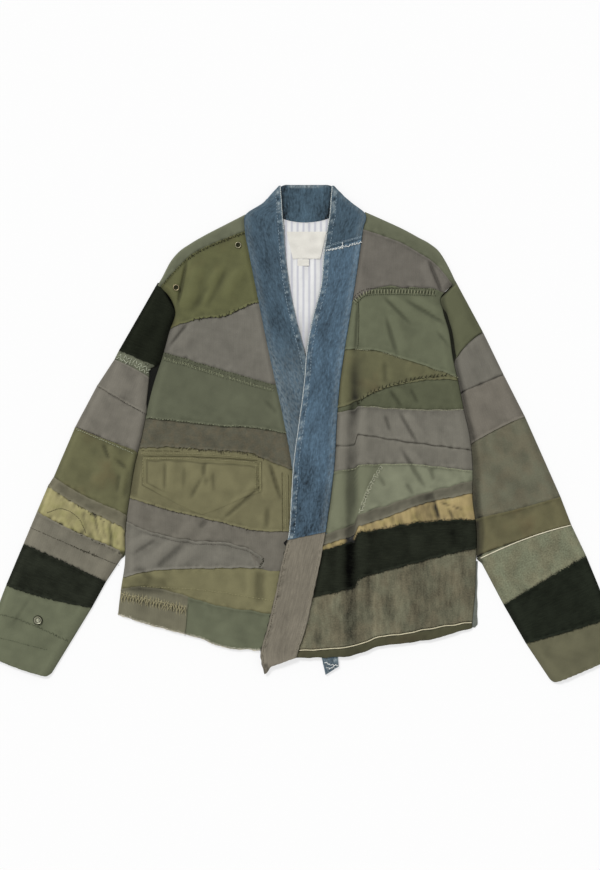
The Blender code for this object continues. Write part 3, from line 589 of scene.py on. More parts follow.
def edge_shares(length, first=False, last=False, radius=TURN):
    """Shares of a length, a step apart, with rows closing up round a turned edge as on its circle."""
    turn = radius * (1.0 - np.cos(np.linspace(0.0, np.pi / 2.0, 6)))
    count = max(3, int(round((length - 2.0 * radius) / STEP)))
    inner = np.linspace(radius, length - radius, count + 1)
    ends = turn if first else np.linspace(0.0, radius, 3)
    far = length - (turn if last else np.linspace(0.0, radius, 3))
    return np.unique(np.round(np.concatenate([ends, inner, far]) / length, 6))


def waver(x, ragged):
    """How far a raw edge wanders, as a function of the place along it."""
    return ragged * (0.7 * ripples(x, 0.0 * x, 7.0, 31) + 0.5 * ripples(x, 0.0 * x, 3.5, 32))


def seam_reach(lap, ragged, side, x):
    """How far a piece goes past its seam: side is 1 for the piece above it and -1 for the one below."""
    if lap == 2:
        return waver(x, ragged)
    if lap == 0:
        return np.full_like(x, -0.12)
    return waver(x, ragged) if lap == side else np.full_like(x, UNDER)


def seam_height(lap, side, distance, x, y, pucker=0.5):
    """Height added near a seam: the lap or the groove, and puckers that run into it."""
    gathers = pucker * np.exp(-np.abs(distance) / 5.0) * ripples(x, y, 10.0, 33)
    if lap == 2:
        return 0.6 * gathers - 0.5 * fade(distance, 3.0)
    if lap == 0:
        return gathers - 1.3 * bell(np.maximum(distance, 0.0) / 1.6)
    if lap == side:
        return gathers + LAP * (1.0 - smooth((distance - 1.0) / 3.5))
    return gathers - 0.35 * (1.0 - smooth(distance / 3.0)) - smooth((-distance - 2.5) / 5.0)


def seam_dark(lap, side, distance, x, line=1.0):
    """How dark a piece is near a seam: painted shade where it goes under or in, and slightly pale on a
    lapping edge.
    """
    if lap == side or lap == 2:
        return -0.12 * line * fade(distance, 0.9)
    return line * (0.75 + 0.35 * ripples(x, 0.0 * x, 17.0, 35)) * fade(distance, 1.3)


def both_seams(upper, lower, to_upper, to_lower, x, y, pucker=0.5):
    """What the seams above and below a strip add to its height, and how dark they make it, as painted shade.
    """
    height, dark = 0.0, 0.0
    for seam, side, distance in ((upper, -1, to_upper), (lower, 1, to_lower)):
        height = height + seam_height(seam.lap, side, distance, x, y, pucker)
        dark = dark + seam_dark(seam.lap, side, distance, x, seam.line)
    return height, dark


def seam_line(stations, seams, name, x):
    """A seam through its heights at the stations, a little uneven."""
    heights = seams[name].heights
    return through(stations, heights, x) + 0.6 * ripples(x, 0.0 * x + 9.0 * heights[0], 26.0, 34)


def right_seam(name, x):
    if name == "shoulder":
        return table_line(RIGHT_SHOULDER, "x", "seam", x)
    return seam_line(RIGHT_STATIONS, RIGHT_SEAMS, name, x)


def round_the_leaf(name, x):
    """The seam below the middle grey piece, which goes on down behind the leaf's tip to the khaki."""
    past_tip = smooth((x + 84.0) / 16.0) * (name == "grey to leaf")
    return right_seam(name, x) * (1.0 - past_tip) + (right_seam("leaf to khaki", x) - UNDER) * past_tip


def between_heights(y, low, high, soft):
    """1 between two heights, easing to 0 over a soft length inside each."""
    return smooth((y - low) / soft) * smooth((high - y) / soft)


def front_height(folds, x, y, side, beside_band, lift=0.0, gathers=0.0):
    """Height of a front: it rises from its turned side, folds, and dips where it goes under the band."""
    rise = smooth(side / ROLL)
    body = FRONT_EDGE + LAYER + FRONT_RISE * (rise + lift)
    uneven = folds + wrinkled(x, y)
    body = body + uneven * (0.25 + 0.75 * rise) * smooth((beside_band + 4.0) / 16.0) + gathers
    return body - BAND_DIP * (1.0 - smooth(beside_band / BAND_DIP_WIDTH))


def right_height(x, y):
    """The right front's height, the distance from its side, and how dark it is.

    It has painted shade beside the sleeve, and a dark patch at the foot of the grey leaf.
    """
    side = x - side_edge("right", y)
    folds = RIGHT_FOLD_DEPTH * folded(RIGHT_FOLDS, x, y)
    body = front_height(folds, x, y, side, band_edge("under_outer", y) - x)
    painted_shade_and_patch = fade(side, 3.0) * (0.35 + 0.5 * smooth((y - 60.0) / 40.0))
    painted_shade_and_patch = painted_shade_and_patch * smooth((y + 110.0) / 20.0)
    painted_shade_and_patch += 0.3 * bell(side / 14.0) * between_heights(y, 112.0, 200.0, 16.0)
    painted_shade_and_patch += 0.75 * smooth((13.0 - side) / 2.5) * between_heights(y, -98.0, -26.0, 8.0)
    low = (x + 240.0 + 0.4 * (y + 232.0)) / 38.0 + 0.15 * ripples(x, y, 20.0, 42)
    painted_shade_and_patch += 0.8 * (1.0 - smooth((np.hypot(low, (y + 233.0) / 17.0) - 0.6) / 0.5))
    return body, side, painted_shade_and_patch


def front_strip(strip, seams, seam, height, sides, across, middle):
    """One strip of a front, between two sides and the two seams that it is sewn along.

    middle holds places x where its length is measured, for the spacing of its rows.
    """
    upper, lower = seams.get(strip.upper, Seam(-1, 0.2, ())), seams[strip.lower]
    cut = (
        lambda x: seam(strip.upper, x) + seam_reach(upper.lap, upper.ragged, -1, x),
        lambda x: seam(strip.lower, x) - seam_reach(lower.lap, lower.ragged, 1, x),
    )
    tall = np.max(np.abs(cut[0](middle) - cut[1](middle)))
    x, y = between(sides, cut, across, shares(tall))
    z, side, painted_shade_and_patch = height(x, y)
    raised, dark = both_seams(upper, lower, seam(strip.upper, x) - y, y - seam(strip.lower, x), x, y)
    z = turned_edge(z + raised, FOOT + 2.0 * smooth((y - 212.0) / 12.0), side)
    lay_cloth(strip.node, x, y, z, strip.finish(strip.node, strip.colour), dark + painted_shade_and_patch)


def twill(name, colour, cord=0.014, rub=0.08):
    """Grey uniform twill: fine raised cords with a slanting line, rubbed in streaks."""
    dye = Finish(name)
    across, along = dye.parts()
    drift = dye.noise(0.03, 2.0) * 0.0006
    cords = ((across + drift) * (TAU / 0.0034)).sine()
    slant = ((across + along) * (TAU / 0.0012)).sine()
    broken = dye.noise(0.003, 2.0, (1.0, 8.0))
    shade = dye.wear_and_painted_shade(0.12, 0.12, 0.24, 0.45) + cords * cord + broken * rub
    height = cords * (10.0 * cord) + slant * 0.35 + dye.noise(0.004, 3.0) * 0.7
    return dye.done(dye.dyed(linear(colour), shade), 0.9, height, 0.0002)


def tinted(colour, *factors):
    """An sRGB colour as linear RGB, its red, green and blue multiplied by the factors."""
    return tuple(c * f for c, f in zip(linear(colour), factors))


def sateen(name, colour):
    """Olive cotton sateen: close and smooth with a slight sheen, rubbed brownish in patches."""
    dye = Finish(name)
    shade = dye.wear_and_painted_shade(0.14, 0.10, 0.27, 0.45)
    share = dye.noise(0.05, 2.0).above(0.0, 0.6)
    base = dye.dyed(dye.mix(share, linear(colour), tinted(colour, 1.06, 0.93, 0.92)), shade)
    height = dye.weave(0.0008) * 0.25 + dye.noise(0.005, 3.0) * 0.7
    return dye.done(base, 0.75, height, 0.00018)


def wool(name, colour):
    """A coarse speckled wool: brown and grey fibres, felted in blotches."""
    dye = Finish(name)
    blotch = dye.noise(0.018, 3.0) * 0.34 + dye.noise(0.0028, 3.0) * 0.24
    shade = dye.wear_and_painted_shade(0.10, 0.12, 0.18, 0.40) + blotch
    share = dye.noise(0.009, 3.0).above(-0.2, 0.3)
    base = dye.dyed(dye.mix(share, linear(colour), tinted(colour, 1.05, 0.98, 0.93)), shade)
    height = dye.noise(0.0014, 4.0) * 1.6 + dye.noise(0.005, 3.0)
    return dye.done(base, 0.97, height, 0.0003)


Strip = namedtuple("Strip", "node slot finish colour upper lower")


def strips(front, *rows):
    """The strips of a front from the shoulder down: each hangs from the seam that ends the one above.

    Two rows that end on the same seam lie side by side.
    """
    made = []
    upper, lower = None, "shoulder"
    for name, slot, finish, colour, foot in rows:
        if foot != lower:
            upper, lower = lower, foot
        made.append(Strip(f"{front}_{name}", slot, finish, colour, upper, lower))
    return made


RIGHT_STRIPS = strips(
    "right_front",
    ("olive_yoke", "olive_sateen", sateen, (92, 93, 60), "olive to grey"),
    ("grey_upper", "grey_twill", twill, (112, 109, 100), "grey to sage"),
    ("sage", "sage_cotton", cotton, (93, 96, 77), "sage to wool"),
    ("wool", "speckled_wool", wool, (90, 88, 74), "wool to khaki"),
    ("khaki_pocket", "khaki_cotton", cotton, (114, 110, 81), "khaki to grey"),
    ("grey_middle", "grey_twill", twill, (109, 105, 95), "grey to leaf"),
    ("grey_leaf", "grey_twill", twill, (116, 113, 103), "leaf to khaki"),
    ("khaki_lower", "khaki_cotton", cotton, (119, 115, 84), "khaki to hem pieces"),
    ("hem_taupe", "taupe_twill", twill, (112, 109, 90), "hem"),
    ("hem_sage", "sage_cotton", cotton, (101, 105, 84), "hem"),
)
UNDER_BAND = 2.0      # how far a front goes on under the band
for strip in RIGHT_STRIPS:
    first = lambda y: side_edge("right", y)
    last = lambda y: band_edge("under_outer", y) + UNDER_BAND
    across = edge_shares(240, first=True)
    cross = lambda y: through(*zip(*HEM_CROSS), y)
    if strip.node == "right_front_grey_leaf":
        last = lambda y: LEAF_TIP_X - 9.0 * np.minimum(((y - LEAF_TIP_Y) / 12.0) ** 2, 1.5)
    if strip.node == "right_front_hem_taupe":
        last, across = cross, edge_shares(100, first=True)
    if strip.node == "right_front_hem_sage":
        first, across = cross, shares(190)
    middle = np.array([-230.0, -160.0, -100.0, -60.0])
    seam = round_the_leaf if strip.node == "right_front_grey_middle" else right_seam
    front_strip(strip, RIGHT_SEAMS, seam, right_height, (first, last), across, middle)

# The flap of the pocket on the khaki piece, turned in and stitched down at both ends, with a
# pointed lower edge.

FLAP = [(-248, -78), (-226, -90), (-176, -116), (-156, -124), (-134, -117), (-90, -97), (-62, -88)]


def flap_top(x):
    return right_seam("wool to khaki", x) - 13.0 + 8.0 * smooth((x + 75.0) / 15.0)


x, y = between(
    (lambda y: np.full_like(y, FLAP[0][0]), lambda y: np.full_like(y, FLAP[-1][0])),
    (flap_top, lambda x: np.interp(x, *zip(*FLAP))),
    shares(188), shares(70),
)
beside_ends = np.minimum(x - FLAP[0][0], FLAP[-1][0] - x)
edge = np.minimum(beside_ends, np.minimum(flap_top(x) - y, y - np.interp(x, *zip(*FLAP))))
z = right_height(x, y)[0] + 0.12 * ripples(x, y, 24.0, 41)
lower = smooth((x + 240.0) / 30.0) * smooth((-80.0 - y) / 12.0)
groove = bell((edge - 8.0) / 1.3) * (1.0 - lower)
z += turned_edge(1.1 - 0.45 * lower, 0.4, edge, 1.8) - 0.5 * groove
shadow = (0.9 - 0.95 * lower) * np.exp(-edge / 1.3) + 0.6 * groove
lay_cloth("pocket_flap", x, y, z, cotton("pocket flap khaki", (116, 112, 82)), shadow,
          wall=0.6)

# The sewing that shows: dark thread along the lapped edges, a row of small crosses under the grey
# piece, twin rows round the flap, whip stitches over the last seam, and frayed threads below.


def cloth_below(*names):
    """A tree of the named pieces, to drop points on."""
    points, polygons = [], []
    for name in names:
        mesh = bpy.data.objects[f"{name}_cloth"].data
        co = np.empty(len(mesh.vertices) * 3, np.float32)
        mesh.vertices.foreach_get("co", co)
        polygons += [[v + len(points) for v in face.vertices] for face in mesh.polygons]
        points += co.reshape(-1, 3).tolist()
    return BVHTree.FromPolygons(points, polygons)


def drop_on(tree, x, y, miss=4.0):
    """The height in millimetres of the cloth under each point."""
    hits = [tree.ray_cast(Vector((px * MM, py * MM, 0.1)), Vector((0, 0, -1)))[0]
            for px, py in zip(np.ravel(x), np.ravel(y))]
    return np.array([hit.z / MM if hit else miss for hit in hits]).reshape(np.shape(x))


def along(path, pitch, reach, turn, shift, loose, seed):
    """The two ends of each stitch of a row, as an array (stitch, end, xy).

    Stitches sit a pitch apart along the path, moved off it by shift to its left. Each is reach long
    and turned from the path by the next of the turns, in degrees. Loose is how uneven they are.
    """
    rng = np.random.default_rng(seed + int(100 * pitch))
    path = np.asarray(path, float)
    length = np.concatenate([[0.0], np.hypot(*np.diff(path, axis=0).T).cumsum()])
    at = np.arange(0.5 * pitch, length[-1], pitch)
    at = at + pitch * loose * rng.normal(size=at.shape)
    place = lambda s: np.stack([np.interp(s, length, path[:, axis]) for axis in (0, 1)], axis=-1)
    ahead = place(at + 1.5) - place(at - 1.5)
    heading = np.arctan2(ahead[:, 1], ahead[:, 0])
    aside = np.stack([-np.sin(heading), np.cos(heading)], axis=-1)
    middle = place(at) + aside * (shift + 2.0 * loose * rng.normal(size=at.shape))[:, None]
    heading = heading + np.radians(np.resize(turn, at.shape) + 70.0 * loose * rng.normal(size=at.shape))
    half = 0.5 * reach * (1.0 + 1.5 * loose * rng.normal(size=at.shape))
    arm = half[:, None] * np.stack([np.cos(heading), np.sin(heading)], axis=-1)
    return np.stack([middle - arm, middle + arm], axis=1)


def thread(name, colour):
    """Twisted cotton thread, a little lighter and darker from stitch to stitch."""
    dye = Finish(name, on_cloth=False)
    shade = 1.0 + dye.noise(0.006, 1.0) * 0.25 + dye.noise(0.0007, 1.0) * 0.12
    return dye.done(dye.dyed(linear(colour), shade), 0.85, dye.noise(0.0004, 1.0), 0.0001)


def strands(name, colour, line, radius, sides=3):
    """Threads or cords in one mesh: line is (strand, station, xyz) and radius (strand, station).

    Round each station stand as many points as sides: the place + radius (cos a aside + sin a up).
    """
    run = np.gradient(line[..., :2], axis=1)
    run /= np.linalg.norm(run, axis=-1, keepdims=True)
    angle = TAU / 4.0 + TAU * np.arange(sides) / sides
    out, up = radius[..., None] * np.cos(angle), radius[..., None] * np.sin(angle)
    points = np.stack([
        line[..., 0, None] - run[..., 1, None] * out, line[..., 1, None] + run[..., 0, None] * out,
        line[..., 2, None] + up,
    ], axis=-1)
    n = np.arange(points[..., 0].size).reshape(points.shape[:3])
    after = np.roll(n, -1, axis=2)
    walls = np.stack([n[:, :-1], after[:, :-1], after[:, 1:], n[:, 1:]], axis=-1).reshape(-1, 4)
    caps = np.concatenate([n[:, 0, ::-1], n[:, -1]])
    new_piece(name, points.reshape(-1, 3), walls.tolist() + caps.tolist(), thread(name, colour))


def sew(name, colour, ends, thick, tree):
    """Stitches of one thread, each a spindle bowed up off the cloth that the tree holds.

    At share t of its length it stands thick sin(pi t) high, with a radius of half the thickness
    times 0.4 + 0.6 sin(pi t).
    """
    t = np.linspace(0.0, 1.0, 5)
    x, y = (ends[:, :1, axis] * (1.0 - t) + ends[:, 1:, axis] * t for axis in (0, 1))
    bow = np.sin(np.pi * t)
    z = drop_on(tree, x, y) + thick * (bow - 0.1)
    strands(name, colour, np.stack([x, y, z], axis=-1), thick / 2.0 * (0.4 + 0.6 * bow) + 0.0 * x)


# A row runs along a seam, from one place on it to another, or through the points given. Its
# stitches turn from it by these degrees, one after the other.
RUN, ZIGZAG, CROSS, CROSSED, HOOKS = (0,), (58, -58), (66,), (-66,), (75, -60, 100, 20, -80)
Row = namedtuple("Row", "path shift pitch reach loose turn", defaults=(0.10, RUN))


def row_path(seam, path):
    if np.ndim(path[1]) == 0:
        return seam(path[0], np.linspace(path[1], path[2], 120))
    place, at = np.arange(len(path)), np.linspace(0.0, len(path) - 1.0, 120)
    return np.stack([through(place, [point[axis] for point in path], at) for axis in (0, 1)], axis=-1)


def sew_rows(seam, tree, *threads):
    """Stitches on the cloths of a tree, along a seam that is read with seam(name, places).

    Each thread gives its name, slot, colour and thickness, and then its rows. The slot is not used.
    """
    for name, slot, colour, thick, *rows in threads:
        ends = [
            along(row_path(seam, row.path), row.pitch, row.reach, row.turn, row.shift, row.loose, k)
            for k, row in enumerate(Row(*values) for values in rows)
        ]
        sew(name, colour, np.concatenate(ends), thick, tree)


def right_line(name, x):
    return np.stack([x, right_seam(name, x)], axis=-1)


right_front = cloth_below(*[strip.node for strip in RIGHT_STRIPS], "pocket_flap")
sew_rows(
    right_line, right_front,
    ("right_front_dark_stitches", "dark_green_cotton", (44, 43, 30), 1.2,
     (("shoulder", -215, -178), -0.6, 4.0, 2.6, 0.12),
     (("shoulder", -178, -88), -1.8, 2.9, 5.4, 0.14, ZIGZAG),
     (("olive to grey", -170, -67), 0.3, 3.1, 3.6, 0.35, HOOKS),
     (("grey to sage", -214, -42), -0.9, 4.4, 2.2, 0.12),
     (("sage to wool", -238, -22), 1.0, 4.4, 2.2, 0.15),
     ([(-61, -190), (-60, -196), (-66, -204)], 0.0, 1.8, 3.4, 0.35, HOOKS)),
    ("right_front_brown_loops", "speckled_wool", (58, 54, 44), 0.9,
     (("wool to khaki", -190, -58), -1.4, 2.6, 4.4, 0.35, HOOKS),
     (("khaki to grey", -240, -60), -0.4, 4.6, 2.6, 0.3, HOOKS)),
    # Dark khaki strands: painted shadow under the flap's top edge and beside the pale whip stitches, and dark
    # lines along the flap's ends and the placket.
    ("right_front_khaki_shadows", "khaki_cotton", (72, 69, 44), 1.0,
     ([(-246, -33), (-150, -34.5), (-68, -40)], 0.0, 3.0, 3.4, 0.08),
     ([(-250, -24.5), (-190, -25.5)], 0.0, 3.4, 2.6),
     ([(-31, -58), (-30, -150)], 0.0, 3.0, 3.2, 0.08),
     ([(-21, -62), (-20, -150)], 0.0, 3.0, 3.0, 0.08),
     ([(-68, -44), (-67.5, -88)], 0.0, 3.4, 2.6),
     ([(-279.7, -250), (-237.7, -258), (-177.7, -272)], -1.0, 4.6, 12.0, 0.14, (-76,))),
    ("right_front_grey_rows", "grey_twill", (86, 81, 74), 0.7,
     (("grey to leaf", -236, -66), -4.4, 3.4, 2.9)),
    # Dark sage strands: painted shadow beside the pale crosses, with a dark row below them and a dark line
    # where the two hem pieces meet.
    ("right_front_sage_shadows", "dark_green_cotton", (70, 72, 55), 0.9,
     (("grey to sage", -213, -42), -6.8, 5.3, 5.6, 0.16, CROSS),
     (("grey to sage", -213, -42), -11.4, 4.2, 2.4, 0.12),
     ([(-176.6, -262), (-179, -290), (-181.5, -312)], 0.0, 2.4, 2.6, 0.05)),
    ("right_front_sage_crosses", "pale_sage_cotton", (160, 163, 134), 1.0,
     (("grey to sage", -213, -42), -8.2, 5.3, 5.2, 0.16, CROSS),
     (("grey to sage", -211, -42), -8.6, 5.3, 4.8, 0.20, CROSSED),
     (("sage to wool", -236, -24), 1.4, 8.0, 2.6, 0.2)),
    ("right_front_khaki_stitches", "khaki_cotton", (160, 155, 116), 1.15,
     ([(-250, -28.5), (-150, -30), (-60, -38)], 0.0, 3.6, 2.6, 0.08),
     ([(-246, -37), (-150, -38), (-72, -43)], 0.0, 3.6, 2.6, 0.08),
     ([(-246.6, -38), (-246.4, -76)], 0.0, 3.6, 2.8, 0.15),
     ([(-71.5, -43), (-71.0, -88)], 0.0, 3.4, 2.6),
     ([(-64, -43), (-64, -86)], 0.0, 3.4, 2.6),
     ([(-26, -58), (-25, -148)], 0.0, 3.4, 2.5),
     (("wool to khaki", -186, -158), -1.0, 3.8, 4.4, 0.3, ZIGZAG),
     ([(-251, -235), (-150, -241), (-46, -257)], 0.0, 4.6, 3.0)),
    ("right_front_whip_stitches", "cream_tape", (172, 165, 132), 1.5,
     ([(-282, -250), (-240, -258), (-180, -272)], 0.0, 4.6, 17.5, 0.09, (-76,)),
     ([(-280, -250), (-238, -258), (-180, -272)], 0.0, 4.6, 15.0, 0.10, (-106,)),
     ([(-282, -246), (-240, -254), (-180, -268)], 0.0, 6.1, 5.0, 0.2, (-20, 30))),
    ("right_hem_fray", "cream_tape", (234, 228, 210), 0.5,
     (("hem", -286, -40), 0.6, 0.9, 3.4, 0.3, (-90, -50, -120, -70, -150))),
)
hem_edge = right_line("hem", np.linspace(-286.0, -38.0, 200))
hem_edge[:, 1] += 0.1 + waver(hem_edge[:, 0], 0.6)
z = drop_on(right_front, hem_edge[:, 0], hem_edge[:, 1] + 2.0) - 1.9
line = np.column_stack([hem_edge, z])[None]
strands("right_hem_lining_edge", (216, 210, 190), line, np.full(line.shape[:2], 0.85), 6)

# ================================================================ left front
# Thirteen pieces, from a grey yoke to a piped hem band. A soft pleat runs down beside the band
# and steps every seam; one strip is puckered gold satin, one black felt with a raw edge.

LEFT_STATIONS = (-30, 40, 84, 120, 160, 200, 240, 280)
PLEAT_X = 81.0        # where the pleat starts to step the seams
PLEAT_WIDTH = 6.0
LEFT_FOLD_DEPTH = 1.5
BAND_OVERLAP = 36.0   # how far the left front lies on the right band, from that band's inner edge
V_TOP = 215.0         # where it starts to lie on it
LEFT_SEAMS = {
    "grey to sage": Seam(-1, 0.2, (150, 176, 211, 228, 228, 226, 213, 195)),
    "sage to khaki wedge": Seam(1, 0.2, (132, 133, 132, 130, 117, 104, 90, 76), 0.4),
    "khaki to green wedge": Seam(1, 0.6, (22, 38, 52, 69, 80, 85, 84, 70), 0.15),
    "green wedge to grey": Seam(-1, 0.2, (17, 36, 44, 43, 40, 39, 40, 40), 0.6, 5.0),
    "grey to grey": Seam(0, 0.2, (-23, -2, 0, -4, -11, -16, -21, -26), 0.1, 17.0),
    "grey to pale sage": Seam(-1, 0.2, (-67, -53, -47, -45, -45, -48, -53, -58), 0.4, 5.0),
    "pale sage to ribbon": Seam(-1, 0.3, (-167, -140, -125, -113, -100, -88, -77, -67), 0.6, 13.0),
    "ribbon to gold": Seam(1, 0.9, (-187, -155, -142, -131, -116, -103, -95, -87), 1.0, 13.0),
    "gold to black": Seam(-1, 1.3, (-195, -164, -152, -147, -139, -134, -132, -133), 1.0, 13.0),
    "black to canvas": Seam(1, 1.2, (-250, -234, -224, -213, -203, -192, -182, -174), 1.0, 12.0),
    "canvas to hem band": Seam(0, 0.2, (-334, -332, -326, -313, -308, -300, -294, -288)),
    "hem": Seam(2, 0.2, (-346, -345, -341, -328, -323, -317, -306, -296)),
}
SAGE_CROSS = [(-135, 84), (-104, 92), (-72, 106), (-40, 128)]
LEFT_FOLDS = named_rows(
    FOLD,
    (194, 276, 222, 208, 2.7, -2.6), (184, 272, 208, 210, 9, 2), (208, 270, 234, 216, 6, 1.7),
    (88, 220, 82, 122, 2.4, -1.3), (84, 140, 78, -20, 8, -1.1), (77, 10, 76, -150, 7.5, -0.8),
    (76, -110, 70, -262, 7.5, -1.1), (71, -230, 74, -344, 9, -0.9), (64, 190, 58, -300, 8, 1.1),
    (96, 150, 92, -320, 9, 1.3), (122, 218, 172, 168, 2.7, -1.5), (133, 220, 182, 170, 9, 1.9),
    (154, 212, 236, 164, 2.7, -1.5), (164, 216, 240, 172, 8, 1.6), (127, 194, 150, 114, 3.4, -1.3),
    (138, 194, 162, 118, 9, 1.5), (206, 164, 240, 124, 2.7, -1.1), (214, 168, 246, 132, 7, 0.9),
    (128, 120, 130, 72, 4.1, -0.9), (134, 73, 158, 38, 2.7, -1.5), (143, 75, 166, 42, 7, 1.3),
    (167, 74, 181, 46, 2.7, -1.1), (128, 33, 138, 2, 2.7, -1.3), (149, 38, 182, -18, 2.7, -1.8),
    (158, 40, 191, -16, 8, 1.7), (151, -17, 195, -88, 3.1, -2), (161, -18, 206, -86, 8, 1.7),
    (118, -61, 131, -83, 2.4, -1.1), (160, -73, 175, -96, 2.7, -1.3), (200, -50, 204, -74, 2.7, -1),
    (104, -208, 102, -280, 7, -1.0), (134, -222, 135, -306, 10, -0.9), (116, -230, 118, -330, 9, 1.2),
    (148, -212, 163, -304, 13, 1.2), (214, -192, 222, -294, 10, -0.7), (240, -186, 245, -292, 7, 1),
    (30, -270, 26, -336, 8, -0.8), (204, -98, 214, -134, 2.4, -0.5), (209, -103, 253, -117, 1.8, -0.9),
    (226, -112, 236, -134, 2.2, -0.7), (222, -112, 252, -100, 8, 1.2), (172, -146, 176, -196, 9, 0.8),
    (232, -140, 238, -180, 8, -0.8),
)


def lifted(x, y):
    """1 where the left front lies on the right band, easing to 0 beside it and up the V."""
    past_band = band_edge("under_inner", y) + BAND_OVERLAP - x
    return smooth((V_TOP - y) / 60.0) * smooth(past_band / 20.0)


def left_seam(name, x):
    if name == "shoulder":
        return table_line(LEFT_SHOULDER, "x", "seam", x)
    before_pleat = 1.0 - smooth((x - PLEAT_X) / PLEAT_WIDTH)
    return seam_line(LEFT_STATIONS, LEFT_SEAMS, name, x) - LEFT_SEAMS[name].step * before_pleat


# The pleat's shadow: where it runs at each height, how wide it is and how dark.
PLEAT = named_rows(
    "y x width dark",
    (-340, 73, 9, 0.45), (-287, 72, 10, 0.95), (-250, 71, 11, 0.8), (-225, 69, 9, 0.8),
    (-200, 68, 8, 0.7), (-150, 74, 8.5, 0.7), (-100, 76, 9, 0.6), (-10, 76, 8.5, 0.45),
    (25, 76, 8.5, 0.5), (50, 82, 10, 0.9), (100, 83.5, 10.5, 0.95), (122, 84, 9, 0.6),
    (145, 85, 6, 0.3), (200, 86, 4, 0.0),
)


def pleat_shadow(x, y):
    """A bell across the pleat, exp(-|t|^3), steep towards the band and easy towards the sleeve."""
    middle, width, dark = (table_line(PLEAT, "y", field, y) for field in ("x", "width", "dark"))
    off = (x - middle) / (width * np.where(x > middle, 1.4, 0.8))
    return dark * np.exp(-np.abs(off) ** 3)


# How dark the worn canvas is across its width, as painted light and shade of its folds: paler
# beside the band and between the folds, darker on them.
CANVAS_PAINTED_SHADE = named_rows(
    "x dark",
    (20, -0.35), (54, -0.35), (64, 0.0), (92, 0.15), (104, -0.2), (150, -0.25), (166, 0.1), (196, 0.2),
    (214, 0.05), (290, 0.0),
)


def facet(x, y):
    """1 where the ribbon and the satin turn from the light, up to the slanting crease across them."""
    crease_x = 204.6 - 0.3 * (y + 101.5)
    below = smooth((left_seam("pale sage to ribbon", x) - y) / 2.0)
    return smooth((x - 163.0) / 38.0) * (1.0 - smooth((x - crease_x) / 4.0)) * below


def left_height(x, y):
    """The left front's height, over the right band beneath it, the distance from its side, and how
    dark it is: painted shade in the pleat, beside the sleeve and where the ribbon and the satin turn
    from the light, and painted light and shade across the canvas."""
    side = side_edge("left", y) - x
    above_black = y - left_seam("gold to black", x)
    on_gold = smooth((left_seam("ribbon to gold", x) - y) / 3.0) * smooth(above_black / 3.0)
    gathers = 0.22 * ripples(x + 0.3 * y, 0.2 * y, 8.0, 36) * on_gold
    gathers = gathers * (1.0 - 0.6 * smooth((x - 205.0) / 20.0))
    folds = LEFT_FOLD_DEPTH * folded(LEFT_FOLDS, x, y)
    body = front_height(folds, x, y, side, x - band_edge("over_outer", y), lifted(x, y), gathers)
    painted_shade_and_patch = pleat_shadow(x, y) + 0.7 * bell(side / 5.0) * bell((y - 206.0) / 8.0)
    painted_shade_and_patch += 0.45 * fade(side, 2.5) * between_heights(y, -200.0, 118.0, 20.0)
    on_canvas = smooth((left_seam("black to canvas", x) - y) / 4.0)
    on_canvas = on_canvas * smooth((y - left_seam("canvas to hem band", x)) / 2.0)
    painted_shade_and_patch += on_canvas * table_line(CANVAS_PAINTED_SHADE, "x", "dark", x)
    painted_shade_and_patch += facet(x, y) * (0.70 * on_gold + 1.1 * (1.0 - on_gold)) * smooth(above_black / 2.0)
    return body, side, painted_shade_and_patch


def felt(name, colour):
    """Black wool felt: a soft nap with pale lint and faint lines along the cloth."""
    dye = Finish(name)
    lint = dye.noise(0.0016, 2.0).above(0.42, 0.7)
    lines = dye.noise(0.0020, 2.0, (7.0, 1.0)) * 0.45
    shade = dye.wear_and_painted_shade(0.20, 0.34, 0.42, 0.45) + lint + lines
    height = dye.noise(0.0014, 4.0) * 1.5 + dye.noise(0.006, 3.0)
    dye.done(dye.dyed(linear(colour), shade), 0.98, height, 0.0003)
    dye.shader.inputs["Specular IOR Level"].default_value = 0.06
    return dye.material


def satin(name, colour):
    """Old gold satin, gathered into its seams: a silky sheen, and dull green in patches."""
    dye = Finish(name)
    streaks = dye.noise(0.005, 3.0, (1.0, 3.0)) * 0.16
    shade = dye.wear_and_painted_shade(0.14, 0.06, 0.50, 0.60) + streaks
    share = dye.noise(0.02, 2.0).above(-0.2, 0.6)
    base = dye.dyed(dye.mix(share, linear(colour), tinted(colour, 0.80, 0.84, 0.70)), shade)
    height = dye.noise(0.004, 3.0, (1.0, 3.0))
    dye.shader.inputs["Sheen Weight"].default_value = 0.1
    return dye.done(base, 0.42, height, 0.0003)


def canvas(name, colour, stain=0.50, streaks=0.46, grit=0.50):
    """Worn tent canvas: brown and green stains, rubbed streaks along the threads, and grit in them."""
    dye = Finish(name)
    stains = dye.noise(0.040, 4.0, (1.0, 1.2)) * stain
    spots = dye.noise(0.012, 3.0, (1.0, 1.6)) * (0.6 * stain)
    rubbed = dye.noise(0.005, 3.0, (1.0, 5.0)) * streaks
    gritty = dye.noise(0.0024, 3.0) * grit
    shade = dye.wear_and_painted_shade(0.3 * stain, 0.10, 0.28, 0.40) + (stains + spots) + rubbed + gritty
    green, brown = tinted(colour, 0.975, 1.01, 1.0), tinted(colour, 1.035, 0.99, 0.96)
    share = dye.noise(0.021, 3.0, (1.0, 1.4)).above(-0.3, 0.3)
    base = dye.dyed(dye.mix(share, green, brown), shade)
    height = dye.weave(0.0014) * 0.6 + dye.noise(0.003, 4.0) * (0.3 + grit)
    return dye.done(base, 0.95, height, 0.00025)


